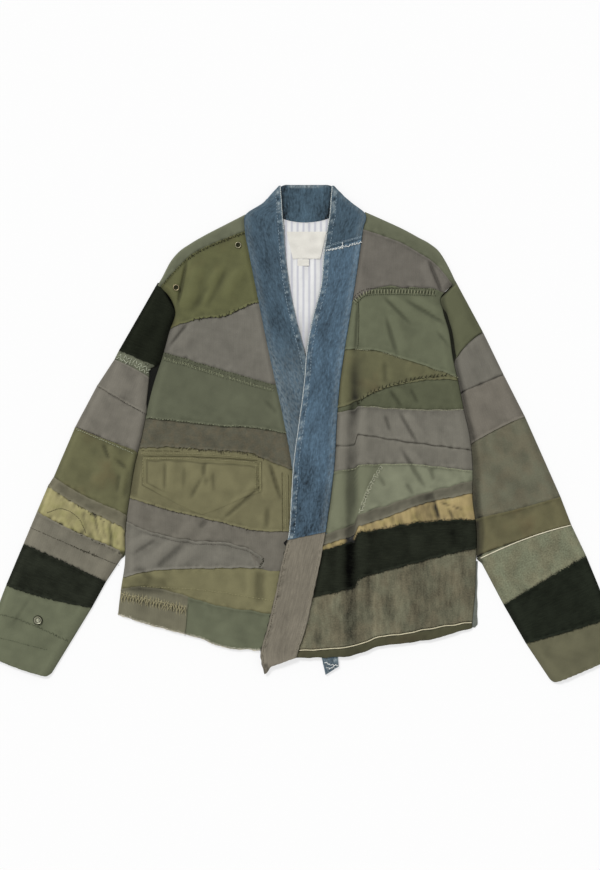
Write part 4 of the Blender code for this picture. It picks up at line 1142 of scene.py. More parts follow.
LEFT_STRIPS = strips(
    "left_front",
    ("grey_yoke", "grey_twill", twill, (106, 102, 94), "grey to sage"),
    ("sage", "sage_cotton", cotton, (100, 104, 82), "sage to khaki wedge"),
    ("khaki_wedge", "olive_sateen", sateen, (94, 93, 66), "khaki to green wedge"),
    ("green_wedge", "dark_green_cotton", cotton, (86, 89, 68), "green wedge to grey"),
    ("grey_upper", "grey_twill", twill, (115, 112, 102), "grey to grey"),
    ("grey_lower", "grey_twill", twill, (112, 109, 99), "grey to pale sage"),
    ("sage_dark", "sage_cotton", cotton, (112, 115, 93), "pale sage to ribbon"),
    ("sage_pale", "pale_sage_cotton", cotton, (125, 128, 106), "pale sage to ribbon"),
    ("ribbon", "speckled_wool", cotton, (107, 104, 89), "ribbon to gold"),
    ("gold", "gold_satin", satin, (153, 136, 94), "gold to black"),
    ("black", "black_felt", felt, (34, 37, 29), "black to canvas"),
    ("canvas", "worn_canvas", canvas, (103, 100, 82), "canvas to hem band"),
    ("hem_band", "olive_sateen", sateen, (67, 66, 46), "hem"),
)
for strip in LEFT_STRIPS:
    first = lambda y: band_edge("over_outer", y) - UNDER_BAND
    last = lambda y: side_edge("left", y)
    across = edge_shares(240, last=True)
    cross = lambda y: through(*zip(*SAGE_CROSS), y)
    if strip.node == "left_front_sage_dark":
        last, across = cross, shares(60)
    if strip.node == "left_front_sage_pale":
        first, across = cross, edge_shares(150, last=True)
    middle = np.array([100.0, 140.0, 180.0, 220.0])
    front_strip(strip, LEFT_SEAMS, left_seam, left_height, (first, last), across, middle)

# The sewing of the left front: a ladder of looped stitches under the yoke, slanted ones along the
# green wedge, a zigzag between the two sages, and a cream cord piped into the hem.


def piping(name, colour, path, radius, tree):
    """A thin cord along a path, half sunk between two cloths; its height is smoothed along it."""
    z = np.maximum(drop_on(tree, path[:, 0], path[:, 1] + 1.3), drop_on(tree, path[:, 0], path[:, 1] - 1.3))
    z = np.convolve(np.pad(z, 3, mode="edge"), np.ones(7) / 7.0, mode="valid") + 0.4 * radius
    line = np.column_stack([path, z])[None]
    strands(name, colour, line, np.full(line.shape[:2], radius), sides=8)


def left_line(name, x):
    return np.stack([x, left_seam(name, x)], axis=-1)


left_front = cloth_below(*[strip.node for strip in LEFT_STRIPS])
LADDER = [(79, 205), (93, 217.5), (110, 221.5), (160, 222), (207, 220)]
HALF_ON = [(80, 207), (95, 218.5), (112, 221.5), (160, 222), (207, 220)]
GREEN_EDGE = [(85, 48), (97, 59), (112, 67), (135, 76), (178, 87), (228, 93)]
SAGE_SEAM = [(124, -48), (107, -76), (90, -120)]
sew_rows(
    left_line, left_front,
    ("left_front_light_stitches", "pale_sage_cotton", (166, 166, 138), 1.2,
     (LADDER, 0.0, 4.7, 7.0, 0.06, (84,)),
     (("sage to khaki wedge", 85, 106), -0.4, 3.0, 2.6),
     (("sage to khaki wedge", 125, 157), -0.4, 3.0, 2.4, 0.15),
     (("sage to khaki wedge", 203, 242), -0.4, 3.0, 2.6),
     (("grey to pale sage", 62, 262), -1.2, 4.4, 2.4, 0.12),
     (("green wedge to grey", 92, 252), -0.6, 2.8, 2.4),
     ([(82, 132.6), (95, 132)], 0.0, 3.0, 3.2, 0.05)),
    ("left_front_sage_zigzag", "pale_sage_cotton", (190, 191, 168), 1.5,
     (SAGE_SEAM, 1.4, 3.6, 6.4, 0.12, ZIGZAG),
     (SAGE_SEAM, -1.6, 3.9, 3.4, 0.2, (-20, 40))),
    ("left_front_dark_stitches", "dark_green_cotton", (46, 46, 31), 1.1,
     (HALF_ON, 0.0, 4.7, 6.0, 0.08, (86,)),
     (LADDER, 5.2, 3.2, 2.4, 0.08),
     (LADDER, -4.8, 3.2, 2.2, 0.08),
     (GREEN_EDGE, 0.8, 6.3, 8.2, 0.12, (50,)),
     (GREEN_EDGE, -0.6, 6.3, 6.0, 0.18, (-32,)),
     (("canvas to hem band", -4, 262), 2.1, 2.7, 1.5, 0.05),
     (SAGE_SEAM, -0.8, 4.4, 3.0, 0.14, (70,)),
     ([(87.5, 206), (88, 170), (86.5, 134)], 0.0, 3.0, 2.8, 0.05)),
    ("left_front_grey_rows", "grey_twill", (84, 78, 70), 0.8,
     (("grey to grey", 84, 262), 0.5, 3.0, 2.2)),
    ("left_front_black_fuzz", "black_felt", (34, 36, 29), 0.6,
     (("gold to black", 60, 262), 1.0, 1.6, 3.4, 0.35, HOOKS),
     (("black to canvas", 40, 262), -1.0, 1.8, 3.4, 0.35, HOOKS)),
)
cord_path = left_line("canvas to hem band", np.linspace(-4.0, 263.0, 180))
piping("left_hem_piping", (208, 200, 170), cord_path, 0.85, left_front)

# ================================================================ shoulder strips
# The back is cut higher than the fronts and rolled forward, so a strip of its sage cotton shows
# along each shoulder, folded over the top edge.

SHOULDER_TOP = 336.0      # above this height the strips' sides run straight up
for side, table, first, last, height, colour, line in (
    (
        "right", RIGHT_SHOULDER, lambda y: 0.0 * y - 225.0,
        lambda y: band_edge("under_outer", y) + UNDER_BAND, right_height, (103, 106, 86), 1.0,
    ),
    (
        "left", LEFT_SHOULDER, lambda y: band_edge("over_outer", y) - UNDER_BAND,
        lambda y: 0.0 * y + 239.0, left_height, (99, 102, 82), 0.5,
    ),
):
    edge = lambda x: table_line(table, "x", "edge", x)
    seam = lambda x: table_line(table, "x", "seam", x)
    low = lambda f: (lambda y: f(np.minimum(y, SHOULDER_TOP)))
    down = np.concatenate([[0.0, 0.01, 0.035, 0.075, 0.125], np.linspace(0.18, 1.0, 13)])
    x, y = between((low(first), low(last)), (edge, lambda x: seam(x) - UNDER), edge_shares(145), down)
    slope = np.hypot(1.0, (edge(x + 1.0) - edge(x - 1.0)) / 2.0)
    z = height(x, y)[0] + seam_height(-1, 1, y - seam(x), x, y) - 0.5
    z = turned_edge(z, FOOT, (edge(x) - y) / slope)
    finish, dark = cotton(f"{side} shoulder sage", colour), seam_dark(-1, 1, y - seam(x), x, line)
    lay_cloth(f"{side}_shoulder_strip", x, y, z, finish, dark)

# ================================================================ front band
# A folded band of faded denim runs down both fronts from the neck. On the left it is joined once
# near the top and ends in a length of taupe twill; the right one lies under it below the V.

BAND_LIES = LABEL_LIES
OVERLAP = BAND + GAP
COLLAR_Y = 386.0
TAIL_X, TAIL_Y, TAIL_SLOPE = 37.0, -372.0, 0.64
TAUPE_END_X, TAUPE_END_Y, TAUPE_END_SLOPE, TAUPE_TIP = -7.0, -344.5, 0.36, 8.0
CROSS_SEAM_Y, CROSS_SEAM_SLOPE = 278.0, 0.28
TAUPE_SEAM_Y, TAUPE_SEAM_SLOPE = -158.0, 0.21
BAND_FOLD = 1.5       # radius of the band's folded edges


def ribbed_twill(name, colour):
    """Twill with cords that show, rubbed in stronger streaks."""
    return twill(name, colour, 0.019, 0.22)


def under_band_top(x, y):
    """On the lining, and down to the floor where its tail passes the hem."""
    below = 1.6 * smooth((-150.0 - y) / 60.0)
    return BAND + GAP + 0.5 + (BAND_LIES - GAP - below) * smooth((y + 372.0) / 24.0)


def over_band_top(x, y):
    """On the right band, and lower again where its end passes the hem."""
    return BAND + 0.5 + BAND_LIES + OVERLAP * lifted(x, y) - 4.0 * smooth((-352.0 - y) / 16.0)


def band_length(node, edges, ends, top, finish, length, laps):
    """A length of band between its two edges and two ends; its grain runs along it."""
    uneven = 0.6 if node.endswith("taupe") else 0.15
    corner = 4.5 * node.endswith("taupe")
    sides = (
        lambda y: band_edge(edges[0], y) + uneven * ripples(0.0 * y, y, 11.0, 55)
        - corner * bell((y + 167.0) / 4.0),
        lambda y: band_edge(edges[1], y) + uneven * ripples(0.0 * y, y, 11.0, 56),
    )
    x, y = between(sides, ends, edge_shares(50, True, True, BAND_FOLD), shares(length, 2.4))
    to_outer, to_inner = x - band_edge(edges[0], y), band_edge(edges[1], y) - x
    side = np.minimum(to_outer, to_inner)
    to_start, to_end = ends[0](x) - y, y - ends[1](x)
    z = top(x, y) + 0.30 * ripples(x, 0.4 * y, 30.0, 51) + 0.10 * ripples(x, y, 8.0, 52)
    z += 0.30 * np.exp(-side / 3.0) * ripples(x, y, 9.0, 53) - 0.30 * bell((side - 8.0) / 1.5)
    for lap, distance in zip(laps, (to_start, to_end)):
        if lap:
            z += seam_height(lap, 1, distance, x, y, 0.3)
    z = turned_edge(z, z - 1.9, side, BAND_FOLD)
    along = np.concatenate([np.zeros((len(x), 1)), np.hypot(np.diff(x), np.diff(y)).cumsum(axis=1)], axis=1)
    dark = seam_dark(laps[0], 1, to_start, x) * abs(laps[0]) + seam_dark(laps[1], 1, to_end, x) * abs(laps[1])
    inner, outer = (to_inner, to_outer) if edges[0] == "under_outer" else (to_outer, to_inner)
    beads = 0.75 * bell((inner - 5.5) / 2.2) * ripples(0.0 * x, y, 9.0, 54)
    faded = 0.16 * bell((outer - 5.0) / 5.0)
    faded = faded + 0.20 * smooth((170.0 - y) / 90.0) * (inner is to_inner)
    pale = np.exp(-inner) + np.maximum(beads, 0.0) + faded
    dark = dark + np.maximum(-beads, 0.0) * 1.2 + 0.55 * smooth((-20.0 - y) / 80.0) * (inner is to_outer)
    # On the taupe: a painted shadow along its left edge, and a painted highlight on a line just inside both
    # edges.
    if node.endswith("taupe"):
        dark = dark - 0.35 * bell((side - 4.5) / 2.2) + 0.7 * np.exp(-(to_outer / 1.1))
    lay_cloth(node, x, y, z, finish, dark, (to_outer, -along), wall=1.3,
              blend=pale)


collar = lambda x: np.full_like(x, COLLAR_Y)
tail = lambda x: TAIL_Y + TAIL_SLOPE * (x - TAIL_X)
taupe_end = lambda x: (
    TAUPE_END_Y + TAUPE_END_SLOPE * (x - TAUPE_END_X) - TAUPE_TIP * smooth((-47.0 - x) / 9.0) + waver(x, 0.3)
)
cross_seam = lambda x: CROSS_SEAM_Y + CROSS_SEAM_SLOPE * x
taupe_seam = lambda x: TAUPE_SEAM_Y + TAUPE_SEAM_SLOPE * x
UNDER_EDGES, OVER_EDGES = ("under_outer", "under_inner"), ("over_inner", "over_outer")
band_length("right_band_denim", UNDER_EDGES, (collar, tail), under_band_top,
            denim("right band denim", (72, 92, 106)), 760, (0, 0))
band_length("left_band_denim_top", OVER_EDGES, (collar, cross_seam), over_band_top,
            denim("left band top denim", (66, 85, 98)), 100, (0, 1))
band_length("left_band_denim", OVER_EDGES, (lambda x: cross_seam(x) + UNDER, taupe_seam), over_band_top,
            denim("left band denim", (77, 99, 116)), 445, (0, 1))
band_length("left_band_taupe", OVER_EDGES, (lambda x: taupe_seam(x) + UNDER, taupe_end), over_band_top,
            ribbed_twill("left band taupe", (137, 130, 115)), 190, (0, 0))

# White thread along the worn inner edges, pale rows inside them, and mended zigzags over the joins.


def band_line(name, y):
    return np.stack([band_edge(name, y), y], axis=-1)


band = cloth_below("right_band_denim", "left_band_denim_top", "left_band_denim", "left_band_taupe")
sew_rows(
    band_line, band,
    ("band_white_thread", "cream_tape", (222, 226, 222), 1.25,
     (("over_inner", 384, -160), 0.9, 3.0, 3.2, 0.08),
     (("under_inner", 384, 318), -0.9, 3.0, 3.2, 0.08)),
    ("band_mending", "cream_tape", (240, 243, 240), 1.5,
     ([(37, 284.6), (61.6, 289.9), (91.8, 297.9)], 0.0, 2.6, 4.0, 0.15, (40, -25)),
     ([(40, 285.6), (61.6, 290.9), (91.8, 298.9)], 0.6, 3.8, 3.2, 0.2, (-30, 50)),
     ([(62.5, 299), (63.4, 288)], 0.0, 2.8, 3.0),
     ([(36, -353), (46, -356.5), (56, -357)], 0.0, 2.4, 4.2, 0.15, (30, -40)),
     ([(38, -361), (44, -362.5), (50, -360)], 0.0, 2.4, 3.0, 0.2, (30, -40))),
    ("band_pale_rows", "denim", (156, 174, 186), 1.15,
     (("over_inner", 376, -156), 8.6, 4.8, 3.0),
     (("under_inner", 376, 90), -8.6, 4.8, 3.0),
     ([(46, 295.3), (93, 307.7)], 0.0, 3.0, 2.9),
     ([(39, 291.7), (92, 306)], 0.0, 3.0, 2.9)),
    # A row of stitches inside the taupe's left edge, darkened to paint the shadow along that edge.
    ("band_taupe_dark_row", "taupe_twill", (84, 78, 65), 1.0,
     (("over_inner", -168, -362), 3.6, 3.2, 2.4, 0.12)),
    ("band_taupe_pale_row", "taupe_twill", (150, 143, 127), 1.0,
     (("over_outer", -152, -338), -4.6, 3.4, 3.0, 0.15)),
)

# ================================================================ sleeves
# Wide straight sleeves of strips sewn round them, each lying beside the body with its own
# underside of sage cotton. The black felt at the right shoulder goes on round its underside.


def fine_canvas(name, colour):
    """Canvas that has kept its colour: only a fine grain."""
    return canvas(name, colour, 0.10, 0.08, 0.20)


def rubbed_canvas(name, colour):
    """Canvas with small pale and dark specks all over."""
    return canvas(name, colour, 0.16, 0.20, 0.60)


def sleeve_back(name, colour, other):
    """Sage cotton, and the other colour, a dark colour painted for the shade there, where it shows beside the
    body.
    """
    dye = Finish(name)
    shade = dye.wear_and_painted_shade(0.06, 0.07, 0.10, 0.42)
    base = dye.dyed(dye.mix(dye.mark("blend"), linear(colour), linear(other)), shade)
    return dye.done(base, 0.9, dye.weave(0.0011), 0.0002)


SLEEVE_RISE = 3.2
CORNER = 9.0          # radius of a cuff's inner corner

# Seams round each sleeve from armhole to cuff: on the outer fold, the middle and the inner fold.
RING = "outer_x outer_y mid_x mid_y inner_x inner_y lap ragged line"
RIGHT_RINGS = named_rows(
    RING,
    (-225, 234, -211, 221, -197, 189, 1, 0.2), (-284, 131, -258, 120, -237, 106, 1, 0.9),
    (-291, 117, -264, 105, -237, 89, -1, 0.3), (-318, 76, -278, 52, -243, 31, 1, 0.3, 0.7),
    (-352, 12, -309, -6, -256, -29, -1, 0.2, 0.6), (-385, -65, -337, -95, -274, -127, -1, 0.4, 0.4),
    (-394, -79, -344, -111, -275, -150, 1, 0.9, 0.6),
    (-411, -119, -354, -149, -277, -187, -1, 0.5, 0.7), (-432, -169, -368, -197, -304, -228, -1, 1.0),
    (-459, -233, -399, -252, -326, -268, 1, 1.1), (-498, -336, -446, -360, -392, -376, 2, 0.3),
    defaults=(1.0,),
)
LEFT_RINGS = named_rows(
    RING,
    (239, 237, 229, 226, 217, 213, 1, 0.2), (281, 159, 257, 141, 240, 118, 0, 0.2, 0.8),
    (313, 93, 288, 83, 254, 64, 0, 0.2, 0.5), (346, 28, 305, 10, 272, -15, 1, 0.3, 0.12),
    (401, -96, 342, -113, 281, -131, -1, 0.3, 0.3), (418, -140, 350, -160, 275, -192, 0, 0.2),
    (441, -188, 385, -220, 313, -264, -1, 1.0), (480, -283, 414, -304, 347, -323, 1, 0.9),
    (498, -338, 448, -362, 389, -386, 2, 0.3),
    defaults=(1.0,),
)
PIECE = "node slot finish colour"
RIGHT_PIECES = named_rows(
    PIECE,
    ("right_sleeve_black_felt", "black_felt", felt, (27, 30, 22)),
    ("right_sleeve_sage_strip", "sage_cotton", cotton, (106, 109, 91)),
    ("right_sleeve_grey_upper", "grey_twill", twill, (116, 112, 102)),
    ("right_sleeve_grey_middle", "grey_twill", twill, (115, 111, 101)),
    ("right_sleeve_olive", "olive_sateen", sateen, (96, 95, 66)),
    ("right_sleeve_ribbon", "speckled_wool", cotton, (113, 109, 90)),
    ("right_sleeve_gold", "gold_satin", satin, (145, 138, 97)),
    ("right_sleeve_grey_lower", "grey_twill", twill, (119, 115, 101)),
    ("right_sleeve_black_wool", "black_felt", felt, (37, 40, 32)),
    ("right_cuff_sage", "sage_cotton", cotton, (103, 107, 85)),
)
LEFT_PIECES = named_rows(
    PIECE,
    ("left_sleeve_olive", "olive_sateen", cotton, (90, 92, 69)),
    ("left_sleeve_grey_upper", "grey_twill", twill, (108, 105, 96)),
    ("left_sleeve_grey_lower", "grey_twill", twill, (111, 106, 96)),
    ("left_sleeve_canvas", "worn_canvas", fine_canvas, (104, 102, 85)),
    ("left_sleeve_khaki", "olive_sateen", sateen, (96, 92, 65)),
    ("left_sleeve_worn", "worn_canvas", rubbed_canvas, (119, 120, 98)),
    ("left_sleeve_black", "black_felt", felt, (32, 36, 28)),
    ("left_cuff_olive", "olive_sateen", cotton, (100, 98, 76)),
)
SLEEVE_FOLDS = named_rows(
    FOLD,
    (-235, 205, -262, 140, 13, 1.8), (-262, 86, -300, 62, 12, 1.4), (-284, -20, -330, -86, 13, 2.2),
    (-309, -12, -297, -42, 2.6, -2.2), (-293, -34, -268, -56, 3, -1.6),
    (-283, -56, -286, -92, 3.4, -1.3), (-266, -44, -276, -106, 4, -2.0), (-300, -14, -286, -44, 5, 1.4),
    (-276, -60, -282, -100, 4, 1.0), (-330, -140, -388, -152, 13, 1.2),
    (-360, -215, -430, -190, 13, 1.6), (-398, -268, -446, -330, 14, 1.6),
    (-420, -250, -452, -300, 3.4, -0.8), (-352, -290, -420, -318, 12, 0.9),
    (236, 180, 262, 142, 13, 1.8), (262, 52, 300, 60, 12, 1.4), (290, -30, 380, -80, 15, 1.8),
    (300, -150, 390, -120, 13, 1.3), (345, -240, 430, -205, 14, 1.8), (380, -340, 452, -312, 14, 1.6),
    (282, 30, 276, -90, 8, -0.9), (-322, -120, -315, -158, 2.4, -1.3),
    (-310, -124, -305, -164, 2.2, -1.1), (-299, -128, -294, -176, 2.6, -1.4),
    (-340, -116, -335, -150, 2.4, -0.7),
)


def ring_line(ring, u):
    """The seam at u, 0 on the outer fold and 1 on the inner: the parabola through its three points."""
    a, b, c = (1 - u) * (1 - 2 * u), 4 * u * (1 - u), u * (2 * u - 1)
    x = a * ring.outer_x + b * ring.mid_x + c * ring.inner_x
    y = a * ring.outer_y + b * ring.mid_y + c * ring.inner_y
    return x, y


# The gap between a sleeve and the body below the armhole: its least width, its top and its foot,
# and the height down to which the sleeve lies against the body below it.
Gap = namedtuple("Gap", "width top foot close")
GAPS = {"right": Gap(1.0, 112.0, 34.0, -188.0), "left": Gap(5.0, 199.0, 108.0, -200.0)}
TUCK = 0.8            # how far a sleeve goes under the body's side elsewhere


def beside_body(side, x, y, room):
    """x kept this far out from the body's folded side, or under it where room is below 0."""
    edge = side_edge(side, y)
    return np.minimum(x, edge - room) if side == "right" else np.maximum(x, edge + room)


def wedge(side, y):
    """1 over the height where the sleeve stands off the body, below the armhole."""
    return smooth((GAPS[side].top - y) / 12.0) * smooth((y - GAPS[side].foot) / 16.0)


def closed(side, y):
    """1 where the sleeve lies against the body, above and below the gap."""
    return (1.0 - wedge(side, y)) * smooth((y - GAPS[side].close) / 10.0)


def painted_shade_beside_body(side, x, y):
    """Painted shade on a sleeve in the hollow beside the body."""
    away = np.abs(x - side_edge(side, y))
    if side == "left":
        deep = 1.0 + 0.35 * smooth((-60.0 - y) / 40.0)
        reach = 3.0 + 6.0 * smooth((77.0 - y) / 180.0) - 2.5 * smooth((-140.0 - y) / 40.0)
    else:
        deep = 0.5 + 0.6 * bell((y + 58.0) / 26.0)
        reach = 1.5
    return deep * (1.0 - smooth((away - reach) / 6.0)) * between_heights(y, -212.0, 224.0, 14.0)


def sleeve_point(side, rings, place, u):
    """(x, y) at u across a sleeve and at place along it, a whole number on each seam."""
    lines = np.array([ring_line(ring, u) for ring in rings])
    k = np.clip(np.floor(place).astype(int), 0, len(rings) - 2)
    t = place - k
    pick = lambda axis, row: np.take_along_axis(lines[:, axis], row[None], axis=0)[0]
    x, y = (pick(axis, k) * (1.0 - t) + pick(axis, k + 1) * t for axis in (0, 1))
    return beside_body(side, x, y, -UNDER), y


def sleeve_strip(side, rings, k, piece):
    """The strip between two seams; its rows run past a seam that it laps or goes under."""
    upper, lower = rings[k], rings[k + 1]
    length = np.hypot(upper.mid_x - lower.mid_x, upper.mid_y - lower.mid_y)
    wide = np.hypot(upper.outer_x - upper.inner_x, upper.outer_y - upper.inner_y)
    across, down = np.meshgrid(edge_shares(wide, True, True), shares(length), indexing="ij")
    reach = [
        seam_reach(ring.lap, ring.ragged, facing, across * wide + 50.0 * k) / length
        for ring, facing in ((upper, -1), (lower, 1))
    ]
    if k == len(rings) - 2:
        corner = np.clip(1.0 - (1.0 - across) * wide / CORNER, 0.0, 1.0)
        reach[1] = reach[1] - CORNER / length * (1.0 - np.sqrt(1.0 - corner**2))
    down = down * (1.0 + reach[0] + reach[1]) - reach[0]
    (xa, ya), (xb, yb) = ring_line(upper, across), ring_line(lower, across)
    x, y = xa * (1.0 - down) + xb * down, ya * (1.0 - down) + yb * down
    armhole = (1.0 - smooth(down * length / 8.0)) * (k == 0)
    close = across**6 * closed(side, y)
    x = x * (1.0 - close) + beside_body(side, side_edge(side, y), y, -TUCK) * close
    open_by = GAPS[side].width * wedge(side, y) - TUCK * (1.0 - wedge(side, y))
    x = beside_body(side, x, y, open_by * (1.0 - armhole) - UNDER * armhole)
    turned = np.minimum(across, 1.0 - across) * wide
    rise = smooth(turned / ROLL)
    uneven = folded(SLEEVE_FOLDS, x, y) + wrinkled(x, y)
    z = FRONT_EDGE + LAYER + SLEEVE_RISE * rise + uneven * (0.3 + 0.7 * rise)
    to_upper, to_lower = down * length, (1.0 - down) * length
    pucker = 1.0 if piece.finish is satin else 0.5
    raised, dark = both_seams(upper, lower, to_upper, to_lower, x, y, pucker)
    z += raised
    z = turned_edge(z, FOOT + 0.6 * close * (z - FOOT), turned)
    z = z - (z - 1.25) * (1.0 - smooth((to_upper + 0.5) / 5.0)) * (k == 0)
    axis = np.array([rings[-1].mid_x - rings[0].mid_x, rings[-1].mid_y - rings[0].mid_y], float)
    axis /= np.hypot(*axis)
    grain = (y * axis[0] - x * axis[1], -x * axis[0] - y * axis[1])
    finish = piece.finish(piece.node, piece.colour)
    dark = dark + painted_shade_beside_body(side, x, y)
    lay_cloth(piece.node, x, y, z, finish, dark, grain)


# Painted shade where the undersleeve shows in the gap beside the body: near black on the right, as the felt
# that goes round there in shadow, and dark olive on the left.
SHADE_INSIDE = {"right": (20, 22, 15), "left": (44, 46, 32)}      # its colour beside the body
UNDERSLEEVE_Z = 1.1
for side, rings, pieces in (("right", RIGHT_RINGS, RIGHT_PIECES), ("left", LEFT_RINGS, LEFT_PIECES)):
    for k, piece in enumerate(pieces):
        sleeve_strip(side, rings, k, piece)
    u, place = np.meshgrid(
        np.linspace(0.02, 0.985, 45), np.linspace(-0.02, len(rings) - 1.06, 130), indexing="ij"
    )
    x, y = sleeve_point(side, rings, place, u)
    toward_body = smooth((u - 0.6) / 0.385) * smooth((y + 200.0) / 20.0)
    edge = side_edge(side, y)
    under_body = edge + (UNDER if side == "right" else -UNDER)
    x = x * (1.0 - toward_body) + under_body * toward_body
    z = np.full_like(x, UNDERSLEEVE_Z)
    near = bell(np.maximum(np.abs(x - edge) - 6.0, 0.0) / 9.0)
    shadow = 1.4 * wedge(side, y) * near
    inside = smooth((y - 30.0) / 10.0) if side == "right" else near
    finish = sleeve_back(f"{side} sleeve back", (92, 95, 76), SHADE_INSIDE[side])
    lay_cloth(f"{side}_undersleeve", x, y, z, finish, shadow, blend=inside)

# The sleeves' sewing: zigzags on the sage strip, dark and pale rows on the seams, fuzz where the
# black cloths are cut raw, and a cream cord piped into the left sleeve.


def ring_row(rings, k, u):
    return np.stack(ring_line(rings[int(k)], u), axis=-1)


def right_ring(k, u):
    return ring_row(RIGHT_RINGS, k, u)


def left_ring(k, u):
    return ring_row(LEFT_RINGS, k, u)


right_sleeve = cloth_below(*[piece.node for piece in RIGHT_PIECES])
left_sleeve = cloth_below(*[piece.node for piece in LEFT_PIECES])
SAGE_STRIP = [(-287, 122), (-262, 111.5), (-239, 98)]
sew_rows(
    right_ring, right_sleeve,
    ("right_sleeve_zigzags", "pale_sage_cotton", (186, 190, 170), 1.5,
     (SAGE_STRIP, 3.0, 4.3, 5.4, 0.16, ZIGZAG),
     (SAGE_STRIP, -2.4, 4.3, 5.2, 0.20, ZIGZAG)),
    ("right_sleeve_pale_stitches", "pale_sage_cotton", (176, 180, 158), 1.15,
     ((4, 0.02, 0.97), -2.0, 3.6, 2.6)),
    ("right_sleeve_dark_stitches", "dark_green_cotton", (50, 48, 36), 0.9,
     ((3, 0.02, 0.98), 0.8, 3.6, 2.6, 0.15),
     ((4, 0.02, 0.97), 1.4, 3.2, 2.2, 0.12),
     ((7, 0.50, 0.98), 1.2, 4.6, 2.6, 0.30, HOOKS),
     ((6, 0.45, 0.80), -0.8, 5.0, 2.6, 0.30, HOOKS),
     ([(-395, -120.6), (-371, -114.5), (-346.6, -128.8), (-334.4, -153)], 0.0, 3.0, 2.8, 0.06),
     ([(-421.6, -143.6), (-333.5, -181.6), (-284, -202)], 0.0, 3.2, 2.8, 0.12),
     ([(-358, -171), (-338, -179.6), (-316, -188)], -0.4, 2.4, 3.0, 0.3, HOOKS)),
    ("right_cuff_stitches", "sage_cotton", (72, 76, 58), 0.8,
     ([(-468, -278), (-430, -289), (-361, -320)], 0.0, 3.0, 3.6, 0.15, ZIGZAG),
     ([(-470, -314), (-395, -333)], 0.0, 3.4, 2.4)),
)
for side, line, tree, edges in (
    ("right", right_ring, right_sleeve, ((1, 0.5), (8, -0.5), (9, 0.5))),
    ("left", left_ring, left_sleeve, ((6, -0.5), (7, 0.5))),
):
    rows = [((k, 0.02, 0.98), shift, 1.7, 3.4, 0.35, HOOKS) for k, shift in edges]
    sew_rows(line, tree, (f"{side}_sleeve_fuzz", "black_felt", (34, 36, 29), 0.6, *rows))
cord_path = left_ring(5, np.linspace(0.01, 0.99, 120))
piping("left_sleeve_piping", (222, 215, 190), cord_path, 0.8, left_sleeve)
sew_rows(
    left_ring, left_sleeve,
    ("left_cuff_overlock", "olive_sateen", (146, 144, 118), 0.8,
     ((8, 0.05, 0.6), -1.6, 2.6, 3.2, 0.10, (80,))),
)

# ================================================================ snaps
# Three pressed ring snaps of aged brass, two on the olive yoke and one on the right cuff, left
# from the cloth's first use. Each is a rim round a sunk socket with a small stud.


def brass(name, colour):
    """Brass gone dull: dark tarnish in patches, and darker all over where it is marked sunk, as tarnish and
    painted shade.
    """
    dye = Finish(name, on_cloth=False)
    tarnish = dye.noise(0.003, 3.0).above(-0.2, 0.5)
    dull = dye.math("MAXIMUM", tarnish * 0.6, dye.mark("sunk"))
    base = dye.mix(dull, linear(colour), linear((40, 40, 28)))
    dye.shader.inputs["Metallic"].default_value = 1.0
    return dye.done(base, tarnish * 0.25 + 0.30, dye.noise(0.0008, 3.0), 0.00005)


# Half profile of a snap, from its stud out and down, as shares of its radius.
SNAP_PROFILE = named_rows(
    "radius height",
    (0.16, 0.18), (0.22, 0.05), (0.52, 0.04), (0.62, 0.08), (0.68, 0.26), (0.74, 0.34), (0.82, 0.35),
    (0.90, 0.30), (0.97, 0.18), (1.0, 0.0), (0.97, -0.12),
)
STUD_HEIGHT = 0.1     # the same for its middle
SNAP_CLEAR = 0.2      # how high it stands off the cloth
SNAP_SIDES = 40
SNAPS = named_rows(
    "node x y radius cloth colour bright",
    ("yoke_snap_neck", -99, 294, 5.2, "right_front_olive_yoke", (150, 146, 122), [(0.66, 2.0)]),
    ("yoke_snap_shoulder", -195, 228, 5.2, "right_front_olive_yoke", (146, 136, 108), [(0.66, 2.0)]),
    ("cuff_snap", -409, -287, 7.4, "right_cuff_sage", (176, 176, 156), [(0.14, 0.3), (0.6, 0.78)]),
)

for snap in SNAPS:
    radius = np.array([ring.radius for ring in SNAP_PROFILE]) * snap.radius
    height = np.array([ring.height for ring in SNAP_PROFILE]) * snap.radius
    angle = np.arange(SNAP_SIDES) * TAU / SNAP_SIDES
    out, up = np.cos(angle), np.sin(angle)
    foot = drop_on(cloth_below(snap.cloth), snap.x + snap.radius * out, snap.y + snap.radius * up)
    foot = foot.max() + SNAP_CLEAR
    ring = np.stack([
        snap.x + radius[:, None] * out, snap.y + radius[:, None] * up, foot + height[:, None] + 0.0 * angle,
    ], axis=-1)
    points = np.concatenate([ring.reshape(-1, 3), [[snap.x, snap.y, foot + STUD_HEIGHT * snap.radius]]])
    n = np.arange(ring.shape[0] * SNAP_SIDES).reshape(-1, SNAP_SIDES)
    after = np.roll(n, -1, axis=1)
    walls = np.stack([n[:-1], n[1:], after[1:], after[:-1]], axis=-1).reshape(-1, 4).tolist()
    middle = np.stack([0 * n[0] + len(points) - 1, n[0], after[0]], axis=-1).tolist()
    faces = walls + middle + [n[-1][::-1].tolist()]
    share = radius / snap.radius
    # The rings listed as bright stay undarkened: the raised rim of each yoke snap, and on the cuff snap a
    # painted highlight on its stud and on the inner slope of its rim. All the rest is marked sunk and
    # darkened, as tarnish and painted shade.
    rubbed = np.any([(share > low) & (share < high) for low, high in snap.bright], axis=0)
    sunk = np.append(np.repeat(~rubbed, SNAP_SIDES), True).astype(float)
    piece = new_piece(f"{snap.node}_ring", points, faces, brass(snap.node, snap.colour),
                      marks={"sunk": sunk})
    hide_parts(snap.node)

# ================================================================ floor, light and camera
# A pale floor, one broad soft lamp from the upper left with an even sky, and a camera that looks
# straight down from above the middle.

